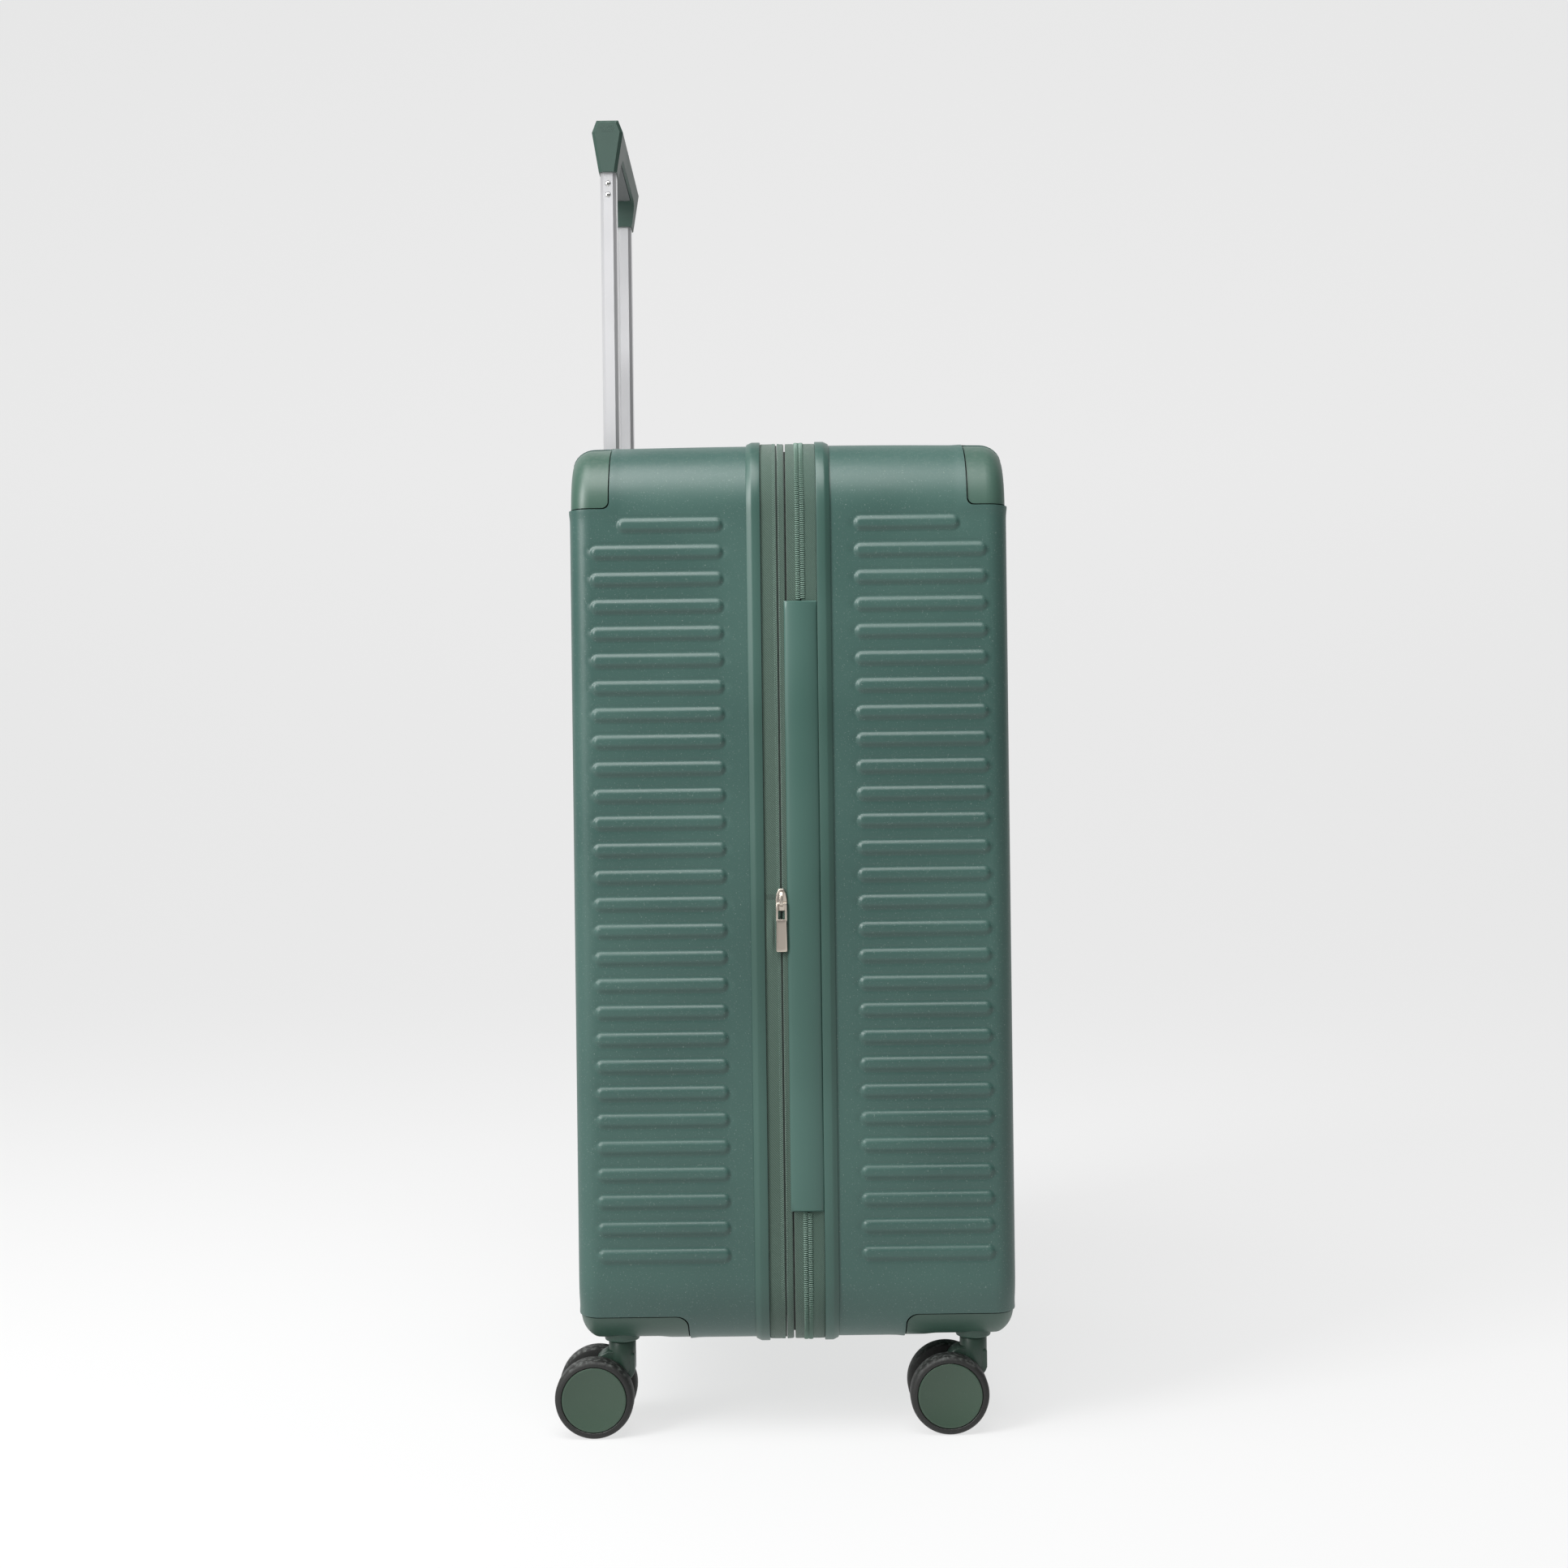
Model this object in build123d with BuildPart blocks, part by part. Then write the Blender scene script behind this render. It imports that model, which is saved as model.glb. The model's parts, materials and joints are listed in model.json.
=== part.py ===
"""Hard shell suitcase on four twin-wheel casters, with a telescoping handle and an expansion zip.

Millimetres. +X is the front, -X the back, where the handle is. -Y is the hinge side (left) and +Y the
lock side (right). +Z is up, the floor is Z = 0, and the origin is under the middle of the whole object.
"""

import os
from math import radians, sqrt, tan

from build123d import *

# --- Driving dimensions: the case ---
case_depth = 330.0        # over both closed shells, expansion closed
case_width = 504.0        # over the shells, without the rim rails
case_height = 688.0       # over the shells, without the rim rails
wheel_to_case = 8.5       # top of the wheels to the shells' underside
corner_r = 55.0           # corners of the front view
edge_r = 16.0             # edge between a big face and the sides
wall = 2.0                # shell wall
fit = 0.1                 # gap between pieces that only lie against each other
seat = 0.05               # gap under a piece that is seated and fastened
beyond = 20.0             # how far a cutting block reaches outside the case

# --- Middle band: rails, zips and tapes, as distances along X from the case's middle plane ---
band_half = 21.0          # half of the textile band between the two rails
rail_width = 10.5
rail_proud = 3.0
rail_groove = 7.0         # how far a shell's rim goes into its rail
rail_inner_leg = 2.5
rail_bevel_proud = 1.8
rail_bevel_width = 4.0
tape_proud = 1.5
tape_thickness = 2.0
sheet_depth = 4.0         # gusset cloth under the shells' surface
sheet_thickness = 1.0
pleat_depth = 16.0
pleat_width = 4.0
gusset_to_slit = 6.0      # gusset's front edge to the main zip
slit = 1.2                # gap between the two tapes of a zip
expansion_slit_x = -8.5
main_slit_x = 8.5
expansion_slider_drop = 4.0   # below the case's middle
main_slider_gap = 28.0        # above and below it

# --- Ribs pressed into the shells ---
rib_pitch = 20.27
rib_width = 9.5
rib_proud = 1.2
rib_draft = 35.0
rib_first_z = 74.2        # above the shells' underside
rib_last_drop = 66.5      # least distance of the last rib below the shells' top
rib_to_edge = 16.5        # rib end to the big face
rib_to_rail = 18.0        # rib end to the rail
rib_face_margin = 42.0    # rib end to the side, on the big faces
rib_clear = 12.0          # least distance from a fitting's edge to a rib's middle

# --- Corner guards at the top ---
guard_depth = 31.0
guard_width = 54.0
guard_height = 54.0
guard_thickness = 2.5
guard_corner_r = 5.0
guard_gap = 0.8

# --- Wheel housings at the bottom ---
housing_depth = 83.0
housing_width = 85.0
housing_height = 26.5
housing_thickness = 9.0
housing_corner_r = 9.0
dish_r = 44.0
dish_depth = 5.5
boss_r = 13.4
boss_drop = -1.3          # boss's lower end above the shells' underside, negative is above
boss_height = 26.0

# --- Casters ---
stem_inset_x = 30.0       # swivel axis to the big face
stem_inset_y = 42.0       # swivel axis to the side
stem_r = 5.0
stem_length = 18.0
running = 0.05            # radial clearance of a shaft that turns
trail = 20.0
wheel_r = 30.0
wheel_width = 17.0
wheel_spacing = 36.0
hub_r = 22.5
hub_face_r = 25.4
hub_face_thickness = 2.0
axle_r = 3.0
tyre_round = 4.0
fork_head_r = 10.4
fork_web = 16.4           # thickness between the wheels

# --- Telescoping handle ---
tube_inset = 19.7         # tube's middle to the back face
tube_spacing = 164.0
tube_x_size = 13.0
tube_y_size = 18.0
tube_wall = 1.2
tube_chamfer = 2.6
tube_length = 440.0
tube_clearance = 0.3      # each side, in the sleeve
handle_travel = 290.0
grip_above_case = 290.5   # grip's top above the shells' top, handle out
grip_height = 43.0
grip_widest = 25.8
grip_top_width = 18.0
grip_widest_drop = 10.0   # below the top
grip_beyond_tube = 2.0    # past the tube's outer side
grip_bar_height = 24.0
grip_window_r = 14.0
grip_leg = 22.0
grip_end_chamfer = 2.5
tongue_length = 32.0
bezel_front = 42.0        # how far the bezel reaches from the back face
bezel_half_width = 101.0
bezel_height = 50.0
pocket_clearance = 1.2
pocket_floor = 6.0
foot_height = 44.0
foot_margin_x = 3.0       # in front of the tubes
foot_margin_y = 18.0      # beyond the tubes
socket_depth = 20.0
button_press = 6.0
button_length = 39.0
button_width = 10.0
button_depth = 4.5        # its underside below the grip's top
button_proud = 1.0
button_clearance = 0.5
crossbar_width = 8.0
crossbar_thickness = 3.0
liner_width = 16.0
liner_thickness = 2.0
liner_gap = 0.5
screw_head_r = 2.25
screw_shank_r = 1.25
screw_shank_length = 3.5
screw_drops = (9.3, 18.6)  # below the grip
pin_stroke = 2.8
pin_above_end = 11.0      # lock pin above the tube's lower end
pin_nose_r = 3.0
pin_past_sleeve = 0.8
pin_gap = 1.0             # over the pin's nose, with the button pressed
block_collar = 8.0
block_height = 34.0
rod_x_size = 3.0
rod_y_size = 6.0

# --- Carry handles (top and lock side), about their own middle on the shell's surface ---
handle_x = -73.0
cup_length = 186.0
cup_width = 40.0
cup_depth = 26.0
cup_wall = 2.0
cup_flange = 3.0
cup_flange_proud = 1.2
cup_r = 5.0
carry_length = 176.0
carry_width = 24.0
carry_thickness = 10.0
carry_lift = 12.0
carry_leg_spacing = 160.0
carry_leg_x = 12.0
carry_leg_y = 8.0
carry_leg_clearance = 0.5
carry_foot_thickness = 2.5
carry_proud = 1.5         # bar above the shell when it is down
carry_stop_gap = 0.5

# --- Lock on the lid ---
lock_x = 50.0
lock_length = 78.0
lock_width = 26.0
lock_depth = 17.0
dial_r = 8.0
dial_thickness = 4.0
dial_pitch = 9.0
dial_proud = 1.3
lock_slide_travel = 5.0
lock_first_dial = -24.0   # from the lock's middle
lock_slide_y = 20.0
lock_slide_x_size = 12.0
lock_slide_y_size = 10.0
lock_slide_depth = 3.8
lock_slide_clearance = 0.2
spindle_r = 1.5

# --- Hinge strip and linings ---
strip_bottom = 106.5      # above the shells' underside
strip_top_drop = 124.5    # below the shells' top
strip_back = -4.0         # its edge beside the expansion zip, from the middle plane
strip_edge_proud = 2.3
strip_rail_gap = 0.2
lining_gap = 6.5          # lining to the shell's outer surface
lining_thickness = 1.0
lining_clear = 2.0        # lining to what it steps round
strap_width = 25.0
strap_thickness = 1.2
strap_to_band = 6.0
strap_spacing = 300.0
buckle_length = 52.0
buckle_thickness = 5.0
buckle_margin = 4.0
false_back = 31.0         # back lining's panel to the back face

# --- Derived places ---
half_depth = case_depth / 2
half_width = case_width / 2
bottom_z = 2 * wheel_r + wheel_to_case
top_z = bottom_z + case_height
middle_z = bottom_z + case_height / 2
stem_x = half_depth - stem_inset_x
stem_y = half_width - stem_inset_y
# The casters trail to the back, so the case stands a little forward of the middle of the whole object.
case_x = (max(stem_x + trail + wheel_r, half_depth + rib_proud) - half_depth - rib_proud) / 2
rail_out = band_half + rail_width
rim_x = rail_out - rail_groove
tube_x = -(half_depth - tube_inset)
tube_y = tube_spacing / 2
grip_top_z = top_z + grip_above_case
grip_bottom_z = grip_top_z - grip_height
tube_bottom_z = grip_bottom_z - tube_length
grip_half_width = tube_y + tube_y_size / 2 + grip_beyond_tube
pin_z = tube_bottom_z + pin_above_end
sides = (-1, 1)
side_name = {-1: "left", 1: "right"}
end_name = {-1: "back", 1: "front"}

os.makedirs("parts", exist_ok=True)


def write(piece, name):
    """Labels a finished piece and writes its STEP file."""
    piece.label = name
    export_step(piece, f"parts/{name}.step")


def across(x):
    """A plane across the case at x from its middle plane, centred on the case, facing +X."""
    return Plane(origin=(case_x + x, 0, middle_z), x_dir=(0, 1, 0), z_dir=(1, 0, 0))


def block(x0, x1, y0, y1, z0, z1):
    """A plain box between case X, Y and Z limits."""
    with BuildPart() as made:
        with Locations((case_x + (x0 + x1) / 2, (y0 + y1) / 2, (z0 + z1) / 2)):
            Box(abs(x1 - x0), abs(y1 - y0), abs(z1 - z0))
    return made.part


def half_form(end, inset, start):
    """One half of the case as a solid block, taken in by inset: end is -1 for the back and 1 for the front."""
    with BuildPart() as made:
        with BuildSketch(across(end * start)):
            RectangleRounded(case_width - 2 * inset, case_height - 2 * inset, corner_r - inset)
        extrude(amount=end * (half_depth - inset - start))
        big_face = made.faces().sort_by(Axis.X)[0 if end < 0 else -1]
        fillet(big_face.edges(), edge_r - inset)
    return made.part


def ring(x0, x1, inner, outer):
    """A band round the case from x0 to x1, between two distances outside the shells' surface."""
    with BuildPart() as made:
        with BuildSketch(across(x0)):
            RectangleRounded(case_width + 2 * outer, case_height + 2 * outer, corner_r + outer)
            RectangleRounded(case_width + 2 * inner, case_height + 2 * inner, corner_r + inner,
                             mode=Mode.SUBTRACT)
        extrude(amount=x1 - x0)
    return made.part


def corner_block(end, side, up, depth, width, height, round_r):
    """A box over one corner of the case, reaching well outside it, with its inner corner rounded."""
    x0, x1 = end * (half_depth - depth), end * (half_depth + beyond)
    y0, y1 = side * (half_width - width), side * (half_width + beyond)
    z0 = top_z - height if up > 0 else bottom_z + height
    z1 = top_z + beyond if up > 0 else bottom_z - beyond
    with BuildPart() as made:
        with Locations((case_x + (x0 + x1) / 2, (y0 + y1) / 2, (z0 + z1) / 2)):
            Box(abs(x1 - x0), abs(y1 - y0), abs(z1 - z0))
        inner = Vertex(case_x + x0, y0, z0)
        fillet(made.edges().sort_by_distance(inner)[:3], round_r)
    return made.part


def guard_block(end, side, grow):
    """The space of a top corner guard, grown inwards by grow."""
    return corner_block(end, side, 1, guard_depth + grow, guard_width + grow, guard_height + grow,
                        guard_corner_r + max(grow, 0))


def housing_block(end, side, grow):
    """The space of a wheel housing, grown inwards by grow."""
    return corner_block(end, side, -1, housing_depth + grow, housing_width + grow, housing_height + grow,
                        housing_corner_r + max(grow, 0))


def recess(end, thickness, space):
    """What is cut from the outside of a half so that a cover of that thickness can lie in space."""
    deeper = half_form(end, thickness + seat, 0)
    with BuildPart() as made:
        add(space)
        add(deeper, mode=Mode.SUBTRACT)
    return made.part


def bare_shell(end):
    """A shell with its ribs' places still flat: hollow, with recesses for the guards and wheel housings."""
    outer = half_form(end, 0, rim_x)
    cavity = half_form(end, wall, rim_x - 1)
    guards = [recess(end, guard_thickness, guard_block(end, s, 0)) for s in sides]
    housings = [recess(end, housing_thickness, housing_block(end, s, 0)) for s in sides]
    guard_backs = [recess(end, guard_thickness + wall, guard_block(end, s, wall)) for s in sides]
    housing_backs = [recess(end, housing_thickness + wall, housing_block(end, s, wall)) for s in sides]
    with BuildPart() as hollow:
        add(cavity)
        for piece in guard_backs + housing_backs:
            add(piece, mode=Mode.SUBTRACT)
    with BuildPart() as made:
        add(outer)
        for piece in guards + housings:
            add(piece, mode=Mode.SUBTRACT)
        add(hollow.part, mode=Mode.SUBTRACT)
        # Holes that the wheel housings' bosses pass through.
        with BuildSketch(Plane.XY.offset(bottom_z)):
            with Locations(*[(case_x + end * stem_x, s * stem_y) for s in sides]):
                Circle(boss_r + fit)
        extrude(amount=boss_height, mode=Mode.SUBTRACT)
    return made.part


rib_count = int((case_height - rib_first_z - rib_last_drop) / rib_pitch) + 1
rib_z = [bottom_z + rib_first_z + i * rib_pitch for i in range(rib_count)]
rib_root = wall / 2                               # ribs start inside the wall
rib_spread = 2 * rib_root * tan(radians(rib_draft))
carry_half = cup_length / 2 + cup_flange + rib_clear
lock_half = lock_length / 2 + cup_flange + rib_clear


def side_rib_span(end, side, z):
    """The X limits of one side rib, or None where a fitting takes its place."""
    near, far = rail_out + rib_to_rail, half_depth - rib_to_edge
    if z > top_z - guard_height - rib_clear - rib_width:
        far = half_depth - guard_depth - rib_clear / 2
    if side > 0 and end < 0 and abs(z - middle_z) < carry_half:
        return None
    if side > 0 and end > 0 and abs(z - middle_z) < lock_half:
        near = lock_x + lock_width / 2 + cup_flange + rib_clear
    return near, far


def side_ribs(end, side):
    """The ribs on one side of one shell."""
    plane = Plane(origin=(case_x, side * (half_width - rib_root), 0), x_dir=(-side, 0, 0), z_dir=(0, side, 0))
    with BuildPart() as made:
        with BuildSketch(plane):
            for z in rib_z:
                span = side_rib_span(end, side, z)
                if span:
                    with Locations((-side * end * (span[0] + span[1]) / 2, z)):
                        SlotOverall(span[1] - span[0] + rib_spread, rib_width + rib_spread)
        extrude(amount=rib_proud + rib_root, taper=rib_draft)
    return made.part


def face_ribs(end):
    """The long ribs across a shell's big face. At the back the handle's bezel replaces the top ones."""
    plane = Plane(origin=(case_x + end * (half_depth - rib_root), 0, 0), x_dir=(0, end, 0), z_dir=(end, 0, 0))
    length = case_width - 2 * rib_face_margin
    with BuildPart() as made:
        with BuildSketch(plane):
            for z in rib_z:
                if end > 0 or z < top_z - bezel_height - rib_clear:
                    with Locations((0, z)):
                        SlotOverall(length + rib_spread, rib_width + rib_spread)
        extrude(amount=rib_proud + rib_root, taper=rib_draft)
    return made.part


# --- Plane frames of the side and top fittings: local Z points out of the case ---
top_fitting = Plane(origin=(case_x + handle_x, 0, top_z), x_dir=(1, 0, 0), z_dir=(0, 0, 1))
side_fitting = Plane(origin=(case_x + handle_x, half_width, middle_z), x_dir=(-1, 0, 0), z_dir=(0, 1, 0))
lock_fitting = Plane(origin=(case_x + lock_x, half_width, middle_z), x_dir=(-1, 0, 0), z_dir=(0, 1, 0))


def fitting_hole(plane, width, length, depth):
    """The opening that a flush fitting needs in a shell."""
    with BuildPart() as made:
        with BuildSketch(plane.offset(-depth)):
            RectangleRounded(width + 2 * fit, length + 2 * fit, cup_r + fit)
        extrude(amount=2 * depth)
    return made.part


bezel_space = block(-half_depth - beyond, -half_depth + bezel_front, -bezel_half_width, bezel_half_width,
                    top_z - bezel_height, top_z + beyond)

# --- Back shell ---
back_bare = bare_shell(-1)
back_side_ribs = [side_ribs(-1, s) for s in sides]
back_face_ribs = face_ribs(-1)
top_cup_hole = fitting_hole(top_fitting, cup_width, cup_length, 2 * wall)
side_cup_hole = fitting_hole(side_fitting, cup_width, cup_length, 2 * wall)
with BuildPart() as back_shell:
    add(back_bare)
    add(back_side_ribs)
    add(back_face_ribs)
    add([bezel_space, top_cup_hole, side_cup_hole], mode=Mode.SUBTRACT)
write(back_shell.part, "back_shell")

# --- Front shell ---
front_bare = bare_shell(1)
front_side_ribs = [side_ribs(1, s) for s in sides]
front_face_ribs = face_ribs(1)
lock_hole = fitting_hole(lock_fitting, lock_width, lock_length, 2 * wall)
with BuildPart() as front_shell:
    add(front_bare)
    add(front_side_ribs)
    add(front_face_ribs)
    add(lock_hole, mode=Mode.SUBTRACT)
write(front_shell.part, "front_shell")

# --- Rim rails: a channel that grips each shell's rim, bevelled towards the shell ---
for end in sides:
    rail_body = ring(end * band_half, end * rail_out, -wall - rail_inner_leg, rail_proud)
    rim_groove = ring(end * (rim_x - fit), end * (rail_out + 1), -wall - fit, fit)
    with BuildPart() as rail:
        add(rail_body)
        outer_end = rail.faces().sort_by(Axis.X)[0 if end < 0 else -1]
        chamfer(outer_end.outer_wire().edges(), rail_bevel_proud, rail_bevel_width, reference=outer_end)
        add(rim_groove, mode=Mode.SUBTRACT)
    write(rail.part, f"{end_name[end]}_rail")

# --- Top corner guards, the left one and its mirror image ---
for end in sides:
    outer = half_form(end, 0, rail_out)
    inner = half_form(end, guard_thickness, 0)
    space = guard_block(end, -1, -guard_gap)
    with BuildPart() as guards:
        add(space)
        add(outer, mode=Mode.INTERSECT)
        add(inner, mode=Mode.SUBTRACT)
        mirror(about=Plane.XZ)
    write(guards.part, f"{end_name[end]}_corner_guards")

# --- Wheel housings, each with the boss that its caster's stem turns in ---
for end in sides:
    outer = half_form(end, 0, rail_out)
    inner = half_form(end, housing_thickness, 0)
    space = housing_block(end, -1, -guard_gap)
    stem = (case_x + end * stem_x, -stem_y)
    with BuildPart() as housings:
        add(space)
        add(outer, mode=Mode.INTERSECT)
        add(inner, mode=Mode.SUBTRACT)
        with BuildSketch(Plane.XY.offset(bottom_z - 1)):
            with Locations(stem):
                Circle(dish_r)
        extrude(amount=dish_depth + 1, mode=Mode.SUBTRACT)
        with BuildSketch(Plane.XY.offset(bottom_z - boss_drop)):
            with Locations(stem):
                Circle(boss_r)
        extrude(amount=boss_height + boss_drop)
        with BuildSketch(Plane.XY.offset(bottom_z - boss_drop)):
            with Locations(stem):
                Circle(stem_r + running)
        extrude(amount=stem_length + 1, mode=Mode.SUBTRACT)
        mirror(about=Plane.XZ)
    write(housings.part, f"{end_name[end]}_wheel_housings")

# --- Casters: fork, axle, hubs and tyres, trailing to the back ---
head_top_z = bottom_z - boss_drop - 0.5
head_bottom_z = wheel_r * 2 - 2
for end in sides:
    for side in sides:
        corner = f"{end_name[end]}_{side_name[side]}"
        sx, sy = case_x + end * stem_x, side * stem_y
        wx = sx - trail
        caster_plane = Plane(origin=(sx, sy, 0), x_dir=(1, 0, 0), z_dir=(0, -1, 0))
        axle_plane = Plane(origin=(wx, sy, wheel_r), x_dir=(1, 0, 0), z_dir=(0, 1, 0))
        with BuildPart() as fork:
            with BuildSketch(Plane.XY.offset(head_bottom_z)):
                with Locations((sx, sy)):
                    Circle(fork_head_r)
            extrude(amount=head_top_z - head_bottom_z)
            with BuildSketch(Plane.XY.offset(head_top_z)):
                with Locations((sx, sy)):
                    Circle(stem_r)
            extrude(amount=stem_length)
            with BuildSketch(caster_plane):
                with BuildLine():
                    Polyline((fork_head_r, head_bottom_z + 3), (fork_head_r, wheel_r + 14), (5, wheel_r + 8),
                             (-trail + 8, wheel_r - 8), (-trail - 6, wheel_r - 8), (-trail - 10, wheel_r + 1),
                             (-trail - 4, wheel_r + 11), (-trail + 1, 2 * wheel_r - 3),
                             (-fork_head_r, head_bottom_z + 5), (fork_head_r, head_bottom_z + 5),
                             close=True)
                make_face()
            extrude(amount=fork_web / 2, both=True)
            with BuildSketch(axle_plane.offset(-wheel_spacing / 2)):
                Circle(axle_r + running)
            extrude(amount=wheel_spacing, mode=Mode.SUBTRACT)
        write(fork.part, f"caster_fork_{corner}")

        axle_half = wheel_spacing / 2 + wheel_width / 2 - hub_face_thickness
        with BuildPart() as axle:
            with BuildSketch(axle_plane.offset(-axle_half)):
                Circle(axle_r)
            extrude(amount=2 * axle_half)
        write(axle.part, f"caster_axle_{corner}")

        with BuildPart() as hubs:
            for out in sides:
                inner_face = axle_plane.offset(out * (wheel_spacing - wheel_width) / 2)
                outer_face = axle_plane.offset(out * (wheel_spacing / 2 + wheel_width / 2 - hub_face_thickness))
                with BuildSketch(inner_face):
                    Circle(hub_r)
                    Circle(axle_r, mode=Mode.SUBTRACT)
                extrude(amount=out * (wheel_width - hub_face_thickness))
                with BuildSketch(outer_face):
                    Circle(hub_face_r)
                extrude(amount=out * hub_face_thickness)
        write(hubs.part, f"caster_hubs_{corner}")

        with BuildPart() as tyres:
            for out in sides:
                inner_face = axle_plane.offset(out * (wheel_spacing - wheel_width) / 2)
                outer_face = axle_plane.offset(out * (wheel_spacing + wheel_width) / 2)
                with BuildPart(mode=Mode.PRIVATE) as tyre:
                    with BuildSketch(inner_face):
                        Circle(wheel_r)
                    extrude(amount=out * wheel_width)
                    fillet(tyre.edges().filter_by(GeomType.CIRCLE), tyre_round)
                    with BuildSketch(inner_face):
                        Circle(hub_r)
                    extrude(amount=out * wheel_width, mode=Mode.SUBTRACT)
                    with BuildSketch(outer_face):
                        Circle(hub_face_r)
                    extrude(amount=-out * hub_face_thickness, mode=Mode.SUBTRACT)
                add(tyre.part)
        write(tyres.part, f"caster_tyres_{corner}")


def tube_outline(grow):
    """A handle tube's outline with its four corners cut, both tubes, in the plane that is open."""
    with Locations((case_x + tube_x, -tube_y), (case_x + tube_x, tube_y)):
        corners = Rectangle(tube_x_size + 2 * grow, tube_y_size + 2 * grow)
    chamfer(corners.vertices(), tube_chamfer + grow * (2 - sqrt(2)))


def tube_side(side, drop):
    """The plane of a tube's outer side at a drop below the grip, facing out."""
    return Plane(origin=(case_x + tube_x, side * (tube_y + tube_y_size / 2), grip_bottom_z - drop),
                 x_dir=(-side, 0, 0), z_dir=(0, side, 0))


# --- Handle bezel: a pocket at the top of the back, with a hole for each tube ---
pocket_half = grip_widest / 2 + pocket_clearance
pocket_floor_z = top_z - bezel_height + pocket_floor
bezel_form = half_form(-1, 0, rail_out)
bezel_block = block(-half_depth - beyond, -half_depth + bezel_front - fit, -bezel_half_width + fit,
                    bezel_half_width - fit, top_z - bezel_height + fit, top_z + beyond)
with BuildPart() as bezel:
    add(bezel_block)
    add(bezel_form, mode=Mode.INTERSECT)
    with BuildSketch(Plane.XY.offset(pocket_floor_z)):
        with Locations((case_x + tube_x, 0)):
            RectangleRounded(2 * pocket_half, 2 * (grip_half_width + pocket_clearance), 5.0)
    extrude(amount=bezel_height, mode=Mode.SUBTRACT)
    with BuildSketch(Plane.XY.offset(top_z - bezel_height - 1)):
        tube_outline(tube_clearance)
    extrude(amount=pocket_floor + 2, mode=Mode.SUBTRACT)
write(bezel.part, "handle_bezel")

# --- Fixed sleeves that the handle tubes slide in, slotted for the lock pins ---
sleeve_top_z = top_z - bezel_height
foot_top_z = bottom_z + foot_height
slot_half = pin_nose_r + tube_clearance
with BuildPart() as sleeves:
    with BuildSketch(Plane.XY.offset(foot_top_z - socket_depth)):
        tube_outline(tube_clearance + tube_wall)
    extrude(amount=sleeve_top_z - foot_top_z + socket_depth)
    with BuildSketch(Plane.XY.offset(foot_top_z - socket_depth)):
        tube_outline(tube_clearance)
    extrude(amount=sleeve_top_z - foot_top_z + socket_depth, mode=Mode.SUBTRACT)
    for s in sides:
        slot = Plane(origin=(case_x + tube_x, s * tube_y, pin_z - handle_travel / 2), x_dir=(0, 1, 0),
                     z_dir=(1, 0, 0))
        with BuildSketch(slot):
            SlotOverall(handle_travel + 2 * slot_half, 2 * slot_half, rotation=90)
        extrude(amount=tube_x_size, mode=Mode.SUBTRACT)
write(sleeves.part, "handle_sleeves")

# --- Foot bracket that holds the sleeves' lower ends, on the shell's floor ---
foot_form = half_form(-1, wall + seat, rail_out)
foot_block = block(-half_depth, tube_x + tube_x_size / 2 + foot_margin_x, -tube_y - foot_margin_y,
                   tube_y + foot_margin_y, bottom_z, foot_top_z)
with BuildPart() as foot:
    add(foot_block)
    add(foot_form, mode=Mode.INTERSECT)
    with BuildSketch(Plane.XY.offset(foot_top_z)):
        tube_outline(tube_clearance + tube_wall + seat)
    extrude(amount=-socket_depth, mode=Mode.SUBTRACT)
write(foot.part, "handle_foot")

# --- Sliding tubes ---
with BuildPart() as tubes:
    with BuildSketch(Plane.XY.offset(tube_bottom_z)):
        tube_outline(0)
    extrude(amount=tube_length)
    with BuildSketch(Plane.XY.offset(tube_bottom_z)):
        tube_outline(-tube_wall)
    extrude(amount=tube_length, mode=Mode.SUBTRACT)
    for s in sides:
        with BuildSketch(Plane(origin=(case_x + tube_x, s * tube_y, pin_z), x_dir=(0, 1, 0), z_dir=(1, 0, 0))):
            Circle(pin_nose_r + fit)
        extrude(amount=tube_x_size, mode=Mode.SUBTRACT)
        for drop in screw_drops:
            with BuildSketch(tube_side(s, drop)):
                Circle(screw_head_r + fit)
            extrude(amount=-2 * tube_wall, mode=Mode.SUBTRACT)
write(tubes.part, "handle_tubes")

# --- Grip: a faceted bridge with a tongue down into each tube ---
bar_bottom_z = grip_top_z - grip_bar_height
rod_x = tube_x + rod_x_size / 2
rod_room = 1.0            # clearance round a push rod, both sides together
crossbar_top_z = grip_top_z - button_depth
window_half = grip_half_width - grip_leg
liner_half = window_half - grip_window_r
foot_half_x = tube_x_size / 2 + 1
tube_places = [(case_x + tube_x, s * tube_y) for s in sides]
rod_places = [(case_x + rod_x, s * tube_y) for s in sides]
grip_section = Plane(origin=(case_x + tube_x, 0, 0), x_dir=(1, 0, 0), z_dir=(0, -1, 0))
grip_front = Plane(origin=(case_x + tube_x, 0, 0), x_dir=(0, 1, 0), z_dir=(1, 0, 0))


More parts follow.
